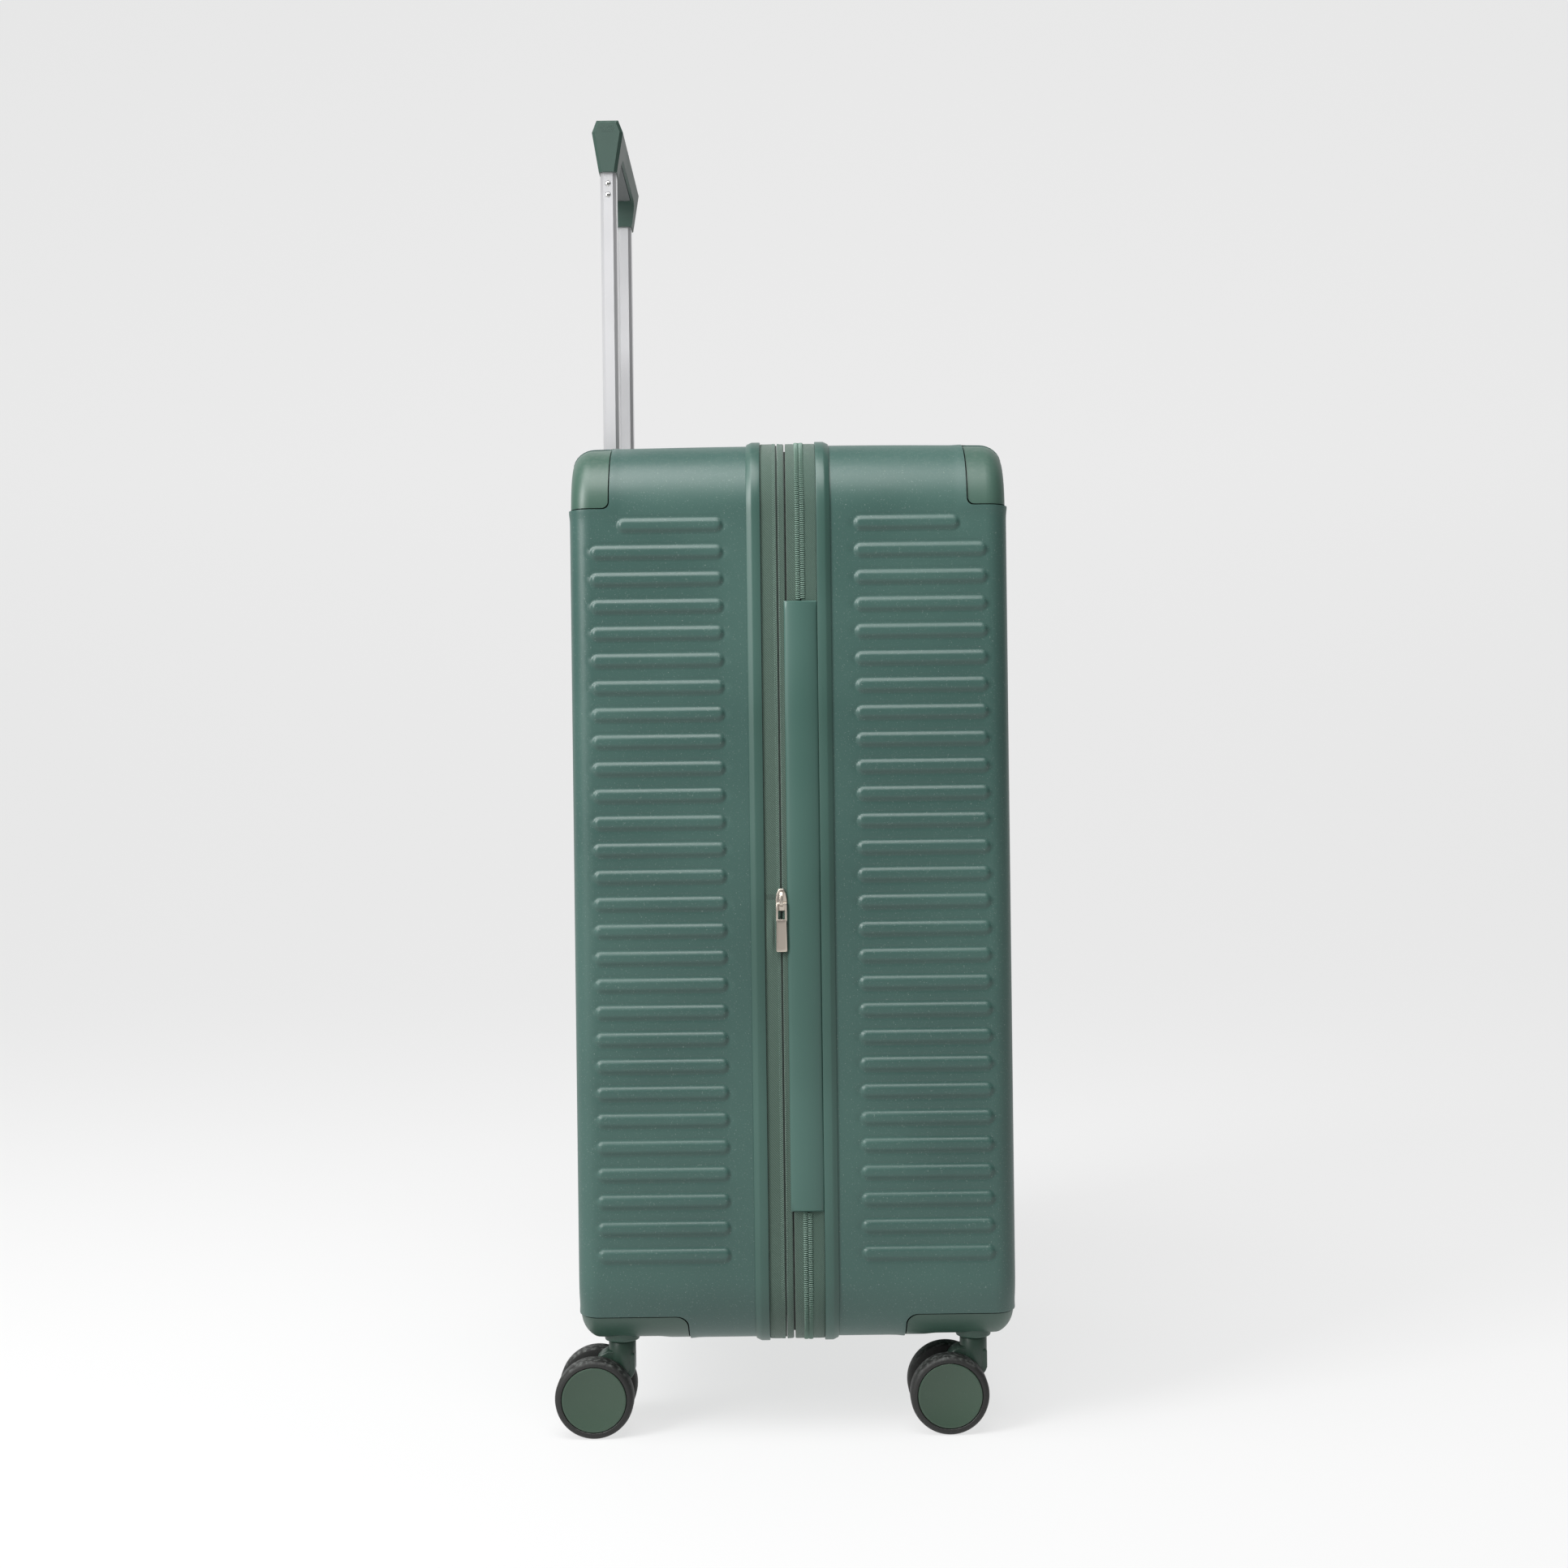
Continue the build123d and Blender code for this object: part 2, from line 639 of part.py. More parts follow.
with BuildPart() as grip:
    with BuildSketch(grip_section):
        with BuildLine():
            Polyline((-foot_half_x, grip_bottom_z), (foot_half_x, grip_bottom_z),
                     (grip_widest / 2, grip_top_z - grip_widest_drop), (grip_top_width / 2, grip_top_z),
                     (-grip_top_width / 2, grip_top_z), (-grip_widest / 2, grip_top_z - grip_widest_drop),
                     close=True)
        make_face()
    extrude(amount=grip_half_width, both=True)
    end_faces = grip.faces().filter_by(Axis.Y)
    chamfer(end_faces.edges().filter_by(lambda e: e.center().Z > grip_bottom_z + 1), grip_end_chamfer)
    with BuildSketch(grip_front):
        with Locations((0, (grip_bottom_z + bar_bottom_z) / 2 - grip_window_r)):
            RectangleRounded(2 * window_half, bar_bottom_z - grip_bottom_z + 2 * grip_window_r, grip_window_r)
    extrude(amount=grip_widest, both=True, mode=Mode.SUBTRACT)
    with BuildSketch(Plane.XY.offset(grip_bottom_z)):
        tube_outline(-tube_wall - seat)
    extrude(amount=-tongue_length)
    # Room for the push rods and their crossbar, open at the underside of the bar.
    with BuildSketch(Plane.XY.offset(grip_bottom_z - tongue_length)):
        with Locations(*rod_places):
            Rectangle(rod_x_size + rod_room, rod_y_size + rod_room)
    extrude(amount=tongue_length + grip_height - button_depth + fit, mode=Mode.SUBTRACT)
    with BuildSketch(Plane.XY.offset(bar_bottom_z)):
        with Locations((case_x + rod_x, 0)):
            Rectangle(crossbar_width + rod_room, 2 * tube_y + rod_y_size + rod_room)
    extrude(amount=grip_bar_height - button_depth + fit, mode=Mode.SUBTRACT)
    with BuildSketch(Plane.XY.offset(bar_bottom_z)):
        with Locations((case_x + tube_x, 0)):
            RectangleRounded(liner_width, 2 * liner_half, 2.0)
    extrude(amount=liner_thickness, mode=Mode.SUBTRACT)
    with BuildSketch(Plane.XY.offset(grip_top_z)):
        with Locations((case_x + tube_x, 0)):
            RectangleRounded(button_width + 2 * button_clearance, button_length + 2 * button_clearance, 4.0)
    extrude(amount=-button_depth - button_press - 1, mode=Mode.SUBTRACT)
    for s in sides:
        for drop in screw_drops:
            with BuildSketch(tube_side(s, drop)):
                Circle(screw_shank_r)
            extrude(amount=-tube_wall - screw_shank_length, mode=Mode.SUBTRACT)
write(grip.part, "handle_grip")

# --- Liner that closes the grip's underside ---
with BuildPart() as liner:
    with BuildSketch(Plane.XY.offset(bar_bottom_z)):
        with Locations((case_x + tube_x, 0)):
            RectangleRounded(liner_width - 2 * liner_gap, 2 * (liner_half - liner_gap), 1.5)
    extrude(amount=liner_thickness - seat)
write(liner.part, "grip_liner")

# --- Two flush screws through each tube's outer side into the grip's tongue ---
with BuildPart() as screws:
    for s in sides:
        for drop in screw_drops:
            with BuildSketch(tube_side(s, drop)):
                Circle(screw_head_r)
            extrude(amount=-tube_wall)
            with BuildSketch(tube_side(s, drop)):
                Circle(screw_shank_r)
            extrude(amount=-tube_wall - screw_shank_length)
write(screws.part, "grip_screws")

# --- Release button in the top of the grip, and the push rods under it ---
with BuildPart() as button:
    with BuildSketch(Plane.XY.offset(crossbar_top_z)):
        with Locations((case_x + tube_x, 0)):
            RectangleRounded(button_width, button_length, 3.5)
    extrude(amount=button_depth + button_proud)
    fillet(button.faces().sort_by(Axis.Z)[-1].edges(), 1.2)
write(button.part, "release_button")

# A wedge at each rod's foot pushes a lock pin back by its stroke as the button goes down.
wedge_rise = rod_x_size * button_press / pin_stroke
wedge_z = pin_z + pin_nose_r + button_press + pin_gap
rod_plane = Plane(origin=(case_x + tube_x, 0, 0), x_dir=(1, 0, 0), z_dir=(0, -1, 0))
with BuildPart() as rods:
    with BuildSketch(Plane.XY.offset(crossbar_top_z)):
        with Locations((case_x + rod_x, 0)):
            Rectangle(crossbar_width, 2 * tube_y + rod_y_size)
    extrude(amount=-crossbar_thickness)
    for s in sides:
        with BuildSketch(rod_plane.offset(-s * tube_y)):
            with BuildLine():
                Polyline((0, crossbar_top_z), (0, wedge_z + wedge_rise), (rod_x_size, wedge_z),
                         (rod_x_size, crossbar_top_z), close=True)
            make_face()
        extrude(amount=rod_y_size / 2, both=True)
write(rods.part, "push_rods")

# --- Spring-loaded lock pins: the rods' wedges push them back out of the sleeves' slots ---
pin_back_x = -1.2         # pin's back from the tube's middle
with BuildPart() as pins:
    for s in sides:
        with BuildSketch(rod_plane.offset(-s * tube_y)):
            with BuildLine():
                Polyline((pin_back_x, pin_z - pin_nose_r), (rod_x_size, pin_z - pin_nose_r),
                         (rod_x_size, wedge_z - fit), (0, wedge_z + wedge_rise - fit),
                         (pin_back_x, wedge_z + wedge_rise - fit), close=True)
            make_face()
        extrude(amount=rod_y_size / 2, both=True)
        with BuildSketch(Plane(origin=(case_x + tube_x, s * tube_y, pin_z), x_dir=(0, 1, 0), z_dir=(1, 0, 0))):
            Circle(pin_nose_r)
        extrude(amount=tube_x_size / 2 + tube_clearance + pin_past_sleeve)
write(pins.part, "lock_pins")

# --- End blocks that close the tubes' lower ends and guide the pins ---
with BuildPart() as end_blocks:
    with BuildSketch(Plane.XY.offset(tube_bottom_z)):
        tube_outline(tube_clearance / 2)
    extrude(amount=-block_collar)
    with BuildSketch(Plane.XY.offset(tube_bottom_z)):
        tube_outline(-tube_wall - seat)
    extrude(amount=block_height)
    with BuildSketch(Plane.XY.offset(pin_z - pin_nose_r - fit)):
        with Locations(*tube_places):
            Rectangle(tube_x_size, rod_y_size + rod_room)
    extrude(amount=block_height, mode=Mode.SUBTRACT)
write(end_blocks.part, "tube_end_blocks")

# --- Textile: zip tapes, the band between the two zips, and the folded expansion gusset ---
tape_in = tape_proud - tape_thickness
expansion_tape = ring(-band_half, expansion_slit_x - slit / 2, tape_in, tape_proud)
write(expansion_tape, "expansion_zip_tape")

band_web = ring(expansion_slit_x + slit / 2, main_slit_x - slit / 2, tape_in, tape_proud)
write(band_web, "expander_band")

lid_tape = ring(main_slit_x + slit / 2, band_half, tape_in, tape_proud)
write(lid_tape, "lid_zip_tape")

sheet_in = -sheet_depth - sheet_thickness
gusset_front = main_slit_x - gusset_to_slit
gusset_sheet = ring(-band_half, gusset_front, sheet_in, -sheet_depth)
pleat_middle = expansion_slit_x
gusset_pleat = ring(pleat_middle - pleat_width / 2, pleat_middle + pleat_width / 2, -pleat_depth, sheet_in)
gusset_edge = ring(gusset_front - sheet_thickness, gusset_front, -sheet_depth, tape_in)
with BuildPart() as gusset:
    add([gusset_sheet, gusset_pleat, gusset_edge])
write(gusset.part, "expansion_gusset")

# --- Hinge strip over the main zip on the hinge side, bowed a little outwards ---
strip_low = -half_width - tape_proud - seat
strip_edge = -half_width - strip_edge_proud
with BuildPart() as strip:
    with BuildSketch(Plane.XY.offset(bottom_z + strip_bottom)):
        with BuildLine():
            back_x, front_x = case_x + strip_back, case_x + band_half - strip_rail_gap
            crown = ((back_x + front_x) / 2, -half_width - rail_proud)
            ThreePointArc((back_x, strip_edge), crown, (front_x, strip_edge))
            Polyline((front_x, strip_edge), (front_x, strip_low), (back_x, strip_low), (back_x, strip_edge))
        make_face()
    extrude(amount=case_height - strip_bottom - strip_top_drop)
write(strip.part, "hinge_strip")


def slider_plane(side, x, z):
    """The frame of a zip slider: origin on the tape at the slit, local Z out of the case, local Y up."""
    return Plane(origin=(case_x + x, side * (half_width + tape_proud), z), x_dir=(-side, 0, 0),
                 z_dir=(0, side, 0))


# A slider runs along local Y. Its pull hangs from the bail, on an axis along local X.
plate_gap, plate_thickness, inner_plate_thickness = 0.3, 1.4, 1.0
slider_length, slider_width, slider_r = 16.5, 8.4, 2.5
post_length, post_clearance = 6.0, 0.2
bail_top, bail_bottom = 6.0, -5.0
bail_bar, bail_hole, bail_width = 1.1, 2.0, 2.2
pull_length, pull_width, pull_thickness = 36.0, 8.2, 1.6
pull_play = 0.2
pivot_y = bail_bottom + bail_bar + pull_thickness / 2 + pull_play
pivot_z = plate_gap + plate_thickness + bail_hole / 2
pull_window = bail_top - pivot_y + 1.2
window_width = 2 * bail_width


def zip_slider(plane):
    """A slider: top plate, bail, post through the slit, and bottom plate."""
    across_slider = Plane(origin=plane.origin, x_dir=plane.y_dir, z_dir=plane.x_dir)
    top = plate_gap + plate_thickness
    under = -tape_thickness - plate_gap
    bail_middle = (bail_top + bail_bottom) / 2
    with BuildPart() as made:
        with BuildSketch(plane.offset(plate_gap)):
            RectangleRounded(slider_width, slider_length, slider_r)
        extrude(amount=plate_thickness)
        with BuildSketch(plane.offset(under)):
            RectangleRounded(slider_width, slider_length, slider_r)
        extrude(amount=-inner_plate_thickness)
        with BuildSketch(plane.offset(under)):
            with Locations((0, (slider_length - post_length) / 2 - 1)):
                Rectangle(slit - 2 * post_clearance, post_length)
        extrude(amount=plate_gap - under)
        with BuildSketch(across_slider):
            with Locations((bail_middle, top + (bail_hole + bail_bar) / 2)):
                RectangleRounded(bail_top - bail_bottom, bail_hole + bail_bar, 1.0)
            with Locations((bail_middle, top + 0.5)):
                Rectangle(bail_top - bail_bottom, 1.0)
            with Locations((bail_middle, top + bail_hole / 2)):
                Rectangle(bail_top - bail_bottom - 2 * bail_bar, bail_hole, mode=Mode.SUBTRACT)
        extrude(amount=bail_width / 2, both=True)
    return made.part


def zip_pull(plane):
    """A pull tab that hangs down from the slider's bail: a plate with a window and a round top bar."""
    bar_r = pull_thickness / 2
    bar_plane = Plane(origin=plane.origin, x_dir=plane.y_dir, z_dir=plane.x_dir)
    with BuildPart() as made:
        with BuildSketch(plane.offset(pivot_z - bar_r)):
            with Locations((0, pivot_y - pull_length / 2)):
                Rectangle(pull_width, pull_length)
            with Locations((0, pivot_y + (bar_r - pull_window) / 2)):
                Rectangle(window_width, pull_window + bar_r, mode=Mode.SUBTRACT)
        extrude(amount=pull_thickness)
        with BuildSketch(bar_plane):
            with Locations((pivot_y, pivot_z)):
                Circle(bar_r)
        extrude(amount=pull_width / 2, both=True)
    return made.part


sliders = {
    "expansion": slider_plane(-1, expansion_slit_x, middle_z - expansion_slider_drop),
    "upper": slider_plane(1, main_slit_x, middle_z + main_slider_gap),
    "lower": slider_plane(1, main_slit_x, middle_z - main_slider_gap),
}
for name, plane in sliders.items():
    write(zip_slider(plane), f"{name}_zip_slider")
    write(zip_pull(plane), f"{name}_zip_pull")


# --- Flush carry handles on the top and the lock side ---
def handle_cup(plane):
    """The moulded cup that a carry handle sinks into, with a flange on the shell and a slot for each leg."""
    with BuildPart() as made:
        with BuildSketch(plane.offset(-cup_depth)):
            RectangleRounded(cup_width, cup_length, cup_r)
        extrude(amount=cup_depth)
        with BuildSketch(plane):
            RectangleRounded(cup_width + 2 * cup_flange, cup_length + 2 * cup_flange, cup_r + cup_flange)
        extrude(amount=cup_flange_proud)
        with BuildSketch(plane.offset(-cup_depth + cup_wall)):
            RectangleRounded(cup_width - 2 * cup_wall, cup_length - 2 * cup_wall, cup_r - cup_wall)
        extrude(amount=cup_depth + cup_flange_proud, mode=Mode.SUBTRACT)
        with BuildSketch(plane.offset(-cup_depth)):
            with GridLocations(0, carry_leg_spacing, 1, 2):
                Rectangle(carry_leg_x + 2 * carry_leg_clearance, carry_leg_y + 2 * carry_leg_clearance)
        extrude(amount=cup_wall, mode=Mode.SUBTRACT)
    return made.part


def carry_handle(plane):
    """A padded bar on two legs, each with a foot that stops it under the cup's floor when it is pulled out."""
    leg_end = cup_depth + carry_lift + carry_stop_gap
    under_bar = carry_proud - carry_thickness
    with BuildPart() as made:
        with BuildSketch(plane.offset(under_bar)):
            RectangleRounded(carry_width, carry_length, 8.0)
        extrude(amount=carry_thickness)
        fillet(made.edges().filter_by(lambda e: plane.to_local_coords(e.center()).Z > carry_proud - 0.01), 3.5)
        with BuildSketch(plane.offset(under_bar)):
            with GridLocations(0, carry_leg_spacing, 1, 2):
                Rectangle(carry_leg_x, carry_leg_y)
        extrude(amount=-leg_end - under_bar)
        with BuildSketch(plane.offset(-leg_end)):
            with GridLocations(0, carry_leg_spacing, 1, 2):
                Rectangle(carry_leg_x + 4, carry_leg_y + 5)
        extrude(amount=-carry_foot_thickness)
    return made.part


cups = [handle_cup(top_fitting), handle_cup(side_fitting)]
with BuildPart() as handle_cups:
    add(cups)
write(handle_cups.part, "handle_cups")
write(carry_handle(top_fitting), "top_carry_handle")
write(carry_handle(side_fitting), "side_carry_handle")

# --- Combination lock in the lid's lock side: housing with a spindle, three dials, and the opening slide ---
dial_centre = dial_proud - dial_r
dial_y = [lock_first_dial + i * dial_pitch for i in range(3)]
dial_axis = Plane(origin=lock_fitting.origin + lock_fitting.z_dir * dial_centre, x_dir=(1, 0, 0),
                  z_dir=(0, 0, 1))
spindle_reach = dial_thickness / 2 + 2
with BuildPart() as lock_housing:
    with BuildSketch(lock_fitting.offset(-lock_depth)):
        RectangleRounded(lock_width, lock_length, cup_r)
    extrude(amount=lock_depth)
    with BuildSketch(lock_fitting):
        RectangleRounded(lock_width + 2 * cup_flange, lock_length + 2 * cup_flange, cup_r + cup_flange)
    extrude(amount=cup_flange_proud)
    with BuildSketch(lock_fitting.offset(dial_centre - dial_r - 0.5)):
        with Locations(*[(0, y) for y in dial_y]):
            Rectangle(2 * dial_r + 1, dial_thickness + 0.6)
    extrude(amount=lock_depth, mode=Mode.SUBTRACT)
    with BuildSketch(lock_fitting.offset(-lock_slide_depth - lock_slide_clearance)):
        with Locations((0, lock_slide_y + lock_slide_travel / 2)):
            Rectangle(lock_slide_x_size + 2 * lock_slide_clearance,
                      lock_slide_y_size + lock_slide_travel + 2 * lock_slide_clearance)
    extrude(amount=lock_depth, mode=Mode.SUBTRACT)
    with BuildSketch(dial_axis.offset(dial_y[0] - spindle_reach)):
        Circle(spindle_r)
    extrude(amount=dial_y[-1] - dial_y[0] + 2 * spindle_reach)
write(lock_housing.part, "lock_housing")

for i, y in enumerate(dial_y):
    with BuildPart() as dial:
        with BuildSketch(dial_axis.offset(y - dial_thickness / 2)):
            Circle(dial_r)
            Circle(spindle_r + running, mode=Mode.SUBTRACT)
            with PolarLocations(dial_r, 10):
                Circle(0.5, mode=Mode.SUBTRACT)
        extrude(amount=dial_thickness)
    write(dial.part, f"lock_dial_{i + 1}")

with BuildPart() as lock_slide:
    with BuildSketch(lock_fitting.offset(-lock_slide_depth)):
        with Locations((0, lock_slide_y)):
            Rectangle(lock_slide_x_size, lock_slide_y_size)
    extrude(amount=lock_slide_depth + cup_flange_proud)
    with BuildSketch(lock_fitting.offset(cup_flange_proud)):
        with Locations(*[(0, lock_slide_y + y) for y in (-3, 0, 3)]):
            Rectangle(0.75 * lock_slide_x_size, 0.9)
    extrude(amount=0.6)
write(lock_slide.part, "lock_slide")


# --- Linings: cloth boxes inside each shell, stepped round what stands into the case ---
def lining_bumps(end, grow):
    """The blocks that a lining steps round: wheel housings, and the fittings of that half."""
    clear = lining_clear + grow
    reach_x, reach_y = housing_depth + wall + clear, housing_width + wall + clear
    housing_top = bottom_z + max(housing_height + wall, boss_height) + clear
    bumps = [block(end * (half_depth - reach_x), end * (half_depth + beyond), s * (half_width - reach_y),
                   s * (half_width + beyond), bottom_z - beyond, housing_top) for s in sides]
    if end > 0:
        lock_half_z = lock_length / 2 + clear
        bumps.append(block(lock_x - lock_width / 2 - clear, lock_x + lock_width / 2 + clear,
                           half_width - lock_depth - clear, half_width + beyond,
                           middle_z - lock_half_z, middle_z + lock_half_z))
        return bumps
    cup_half = cup_length / 2 + clear
    deep = cup_depth + carry_lift + carry_stop_gap + carry_foot_thickness + clear
    x0, x1 = handle_x - cup_width / 2 - clear, handle_x + cup_width / 2 + clear
    behind = -half_depth - beyond
    bezel_half = bezel_half_width + clear
    bumps.append(block(x0, x1, -cup_half, cup_half, top_z - deep, top_z + beyond))
    bumps.append(block(x0, x1, half_width - deep, half_width + beyond,
                       middle_z - cup_half, middle_z + cup_half))
    bumps.append(block(behind, -half_depth + bezel_front + clear, -bezel_half, bezel_half,
                       top_z - bezel_height - clear, top_z + beyond))
    bumps.append(block(behind, -half_depth + false_back + grow, -half_width, half_width,
                       bottom_z - beyond, top_z + beyond))
    return bumps


def lining_form(end, inset, start):
    """The block that a lining covers, stepped round the fittings."""
    form = half_form(end, inset, start)
    bumps = lining_bumps(end, inset - lining_gap)
    with BuildPart() as made:
        add(form)
        for bump in bumps:
            add(bump, mode=Mode.SUBTRACT)
    return made.part


lining_start = band_half + 1.5
for end in sides:
    lining_outer = lining_form(end, lining_gap, lining_start)
    lining_inner = lining_form(end, lining_gap + lining_thickness, lining_start - 1)
    with BuildPart() as lining:
        add(lining_outer)
        add(lining_inner, mode=Mode.SUBTRACT)
    write(lining.part, f"{end_name[end]}_lining")

# --- Packing straps across the back half, with their buckles ---
strap_x = -band_half - strap_to_band
strap_z = [middle_z - strap_spacing / 2, middle_z + strap_spacing / 2]
strap_half = half_width - lining_gap - lining_thickness - seat
buckle_x = strap_x + strap_thickness / 2 + seat + buckle_thickness / 2
with BuildPart() as straps:
    for z in strap_z:
        with Locations((case_x + strap_x, 0, z)):
            Box(strap_thickness, 2 * strap_half, strap_width)
write(straps.part, "packing_straps")

with BuildPart() as buckles:
    for z in strap_z:
        with Locations((case_x + buckle_x, 0, z)):
            Box(buckle_thickness, buckle_length, strap_width + 2 * buckle_margin)
    fillet(buckles.edges().filter_by(Axis.X), 5)
write(buckles.part, "strap_buckles")
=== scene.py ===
"""A hard shell suitcase on four twin-wheel casters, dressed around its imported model.

Lengths in the classes are millimetres in the row frame: +X is the front, -Y the hinge side, +Z is up and
the floor is Z = 0. Meshes are made in millimetres and scaled to metres as they become objects.
"""

import json
import logging
import math
from dataclasses import dataclass, field
from enum import Enum
from typing import Callable, Iterable, Optional, Sequence

import bmesh
import bpy
import numpy as np
from mathutils import Matrix, Vector

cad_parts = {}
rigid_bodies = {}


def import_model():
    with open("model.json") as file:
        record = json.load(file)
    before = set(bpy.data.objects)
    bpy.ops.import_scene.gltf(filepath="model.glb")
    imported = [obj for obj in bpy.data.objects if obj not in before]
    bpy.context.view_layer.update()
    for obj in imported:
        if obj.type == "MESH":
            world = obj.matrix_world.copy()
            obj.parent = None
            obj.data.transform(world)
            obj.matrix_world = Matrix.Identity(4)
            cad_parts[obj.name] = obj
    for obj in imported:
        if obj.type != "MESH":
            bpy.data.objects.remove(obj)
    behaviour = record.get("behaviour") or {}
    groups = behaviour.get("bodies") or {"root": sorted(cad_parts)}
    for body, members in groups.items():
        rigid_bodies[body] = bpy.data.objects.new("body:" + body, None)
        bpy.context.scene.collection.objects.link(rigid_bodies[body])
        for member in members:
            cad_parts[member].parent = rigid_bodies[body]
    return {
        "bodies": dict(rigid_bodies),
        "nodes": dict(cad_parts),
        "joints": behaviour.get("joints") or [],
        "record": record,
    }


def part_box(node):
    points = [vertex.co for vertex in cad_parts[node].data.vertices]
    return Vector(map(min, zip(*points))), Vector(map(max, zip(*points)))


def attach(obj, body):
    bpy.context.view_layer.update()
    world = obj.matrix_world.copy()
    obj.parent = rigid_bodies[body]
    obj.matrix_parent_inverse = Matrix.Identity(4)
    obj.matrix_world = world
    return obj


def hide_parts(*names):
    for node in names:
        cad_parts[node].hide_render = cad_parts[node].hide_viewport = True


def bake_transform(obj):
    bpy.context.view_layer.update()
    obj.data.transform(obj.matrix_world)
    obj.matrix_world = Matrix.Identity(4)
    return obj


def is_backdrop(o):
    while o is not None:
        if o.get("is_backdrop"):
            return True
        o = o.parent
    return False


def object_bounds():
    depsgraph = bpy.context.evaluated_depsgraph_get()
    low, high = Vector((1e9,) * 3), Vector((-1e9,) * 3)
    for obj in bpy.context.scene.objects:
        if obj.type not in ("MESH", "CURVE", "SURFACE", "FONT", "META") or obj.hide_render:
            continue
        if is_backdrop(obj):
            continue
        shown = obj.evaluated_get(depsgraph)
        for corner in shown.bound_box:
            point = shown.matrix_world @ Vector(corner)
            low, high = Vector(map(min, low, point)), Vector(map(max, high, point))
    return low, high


MM = 0.001
SIDES = (-1, 1)
END_NAMES = {-1: "back", 1: "front"}
SIDE_NAMES = {-1: "left", 1: "right"}
log = logging.getLogger("suitcase")


# --------------------------------------------------------------------------- small geometry helpers
class Cut(Enum):
    """How one closed form acts on another."""

    AWAY = "DIFFERENCE"
    COMMON = "INTERSECT"


def smoothstep(x: np.ndarray) -> np.ndarray:
    """A smooth rise from 0 to 1 as x goes from 0 to 1."""
    t = np.clip(x, 0.0, 1.0)
    return t * t * (3 - 2 * t)


def spread(*stops: float, step: float) -> list[float]:
    """Values from the first stop to the last, through each stop, no further apart than step."""
    values = [stops[0]]
    for low, high in zip(stops, stops[1:]):
        count = max(1, math.ceil(abs(high - low) / step - 1e-6))
        values += [low + (high - low) * i / count for i in range(1, count + 1)]
    return values


def new_object(name: str, mesh: bpy.types.Mesh) -> bpy.types.Object:
    """Links a mesh to the scene as an object of that name."""
    made = bpy.data.objects.new(name, mesh)
    bpy.context.scene.collection.objects.link(made)
    return made


def build(name: str, points: np.ndarray, faces: Sequence[Sequence[int]],
          sharp: float = 32.0) -> bpy.types.Object:
    """Makes a smooth shaded object from points in millimetres.

    Args:
        name: The object's name.
        points: One row for each vertex, in millimetres.
        faces: Vertex indices of each face, counterclockwise from outside.
        sharp: Edges that turn by more than this many degrees stay crisp.

    Returns:
        The linked object.
    """
    mesh = bpy.data.meshes.new(name)
    mesh.from_pydata((np.asarray(points, float) * MM).tolist(), [], [list(map(int, f)) for f in faces])
    soften(mesh, sharp)
    return new_object(name, mesh)


def soften(mesh: bpy.types.Mesh, sharp: float) -> None:
    """Shades a mesh smooth except over edges sharper than the given angle in degrees."""
    mesh.update()
    mesh.polygons.foreach_set("use_smooth", np.ones(len(mesh.polygons), bool))
    mesh.set_sharp_from_angle(angle=math.radians(sharp))
    mesh.update()


def settle(obj: bpy.types.Object, sharp: float = 32.0) -> bpy.types.Object:
    """Applies an object's modifiers, so that its mesh is final."""
    bpy.context.view_layer.update()
    graph = bpy.context.evaluated_depsgraph_get()
    mesh = bpy.data.meshes.new_from_object(obj.evaluated_get(graph), preserve_all_data_layers=True,
                                           depsgraph=graph)
    obj.modifiers.clear()
    obj.data = mesh
    mesh.name = obj.name
    soften(mesh, sharp)
    return obj


def combine(target: bpy.types.Object, tools: Iterable[bpy.types.Object], how: Cut,
            sharp: float = 32.0) -> bpy.types.Object:
    """Cuts closed forms from a target, or keeps what they share.

    Args:
        target: The closed object that is changed.
        tools: Closed objects, removed afterwards.
        how: What each tool does.
        sharp: Edge angle for the final shading, in degrees.

    Returns:
        The target with its final mesh.
    """
    tools = list(tools)
    for tool in tools:
        modifier = target.modifiers.new("cut", "BOOLEAN")
        modifier.operation = how.value
        modifier.solver = "MANIFOLD"
        modifier.object = tool
    settle(target, sharp)
    for tool in tools:
        bpy.data.objects.remove(tool)
    return target


def joined(name: str, parts: Sequence[bpy.types.Object], sharp: float = 32.0) -> bpy.types.Object:
    """Joins objects into one of the given name, keeping their materials."""
    bpy.context.view_layer.update()
    target = parts[0]
    with bpy.context.temp_override(active_object=target, selected_editable_objects=list(parts)):
        bpy.ops.object.join()
    target.name = name
    target.data.name = name
    target.data.set_sharp_from_angle(angle=math.radians(sharp))
    return target


def rounded_edges(obj: bpy.types.Object, width: float, segments: int = 2,
                  angle: float = 35.0) -> bpy.types.Object:
    """Adds a small rounding, in millimetres, to the edges that turn by more than an angle."""
    bevel = obj.modifiers.new("edge", "BEVEL")
    bevel.width = width * MM
    bevel.segments = segments
    bevel.limit_method = "ANGLE"
    bevel.angle_limit = math.radians(angle)
    bevel.harden_normals = True
    return obj


@dataclass(frozen=True)
class Axes:
    """A local frame: a point in millimetres and three directions."""

    origin: tuple[float, float, float]
    x: tuple[float, float, float] = (1, 0, 0)
    y: tuple[float, float, float] = (0, 1, 0)
    z: tuple[float, float, float] = (0, 0, 1)

    def place(self, points: np.ndarray) -> np.ndarray:
        """Turns local points into points of the row frame."""
        turned = np.asarray(points, float) @ np.array([self.x, self.y, self.z], float)
        return np.asarray(self.origin, float) + turned


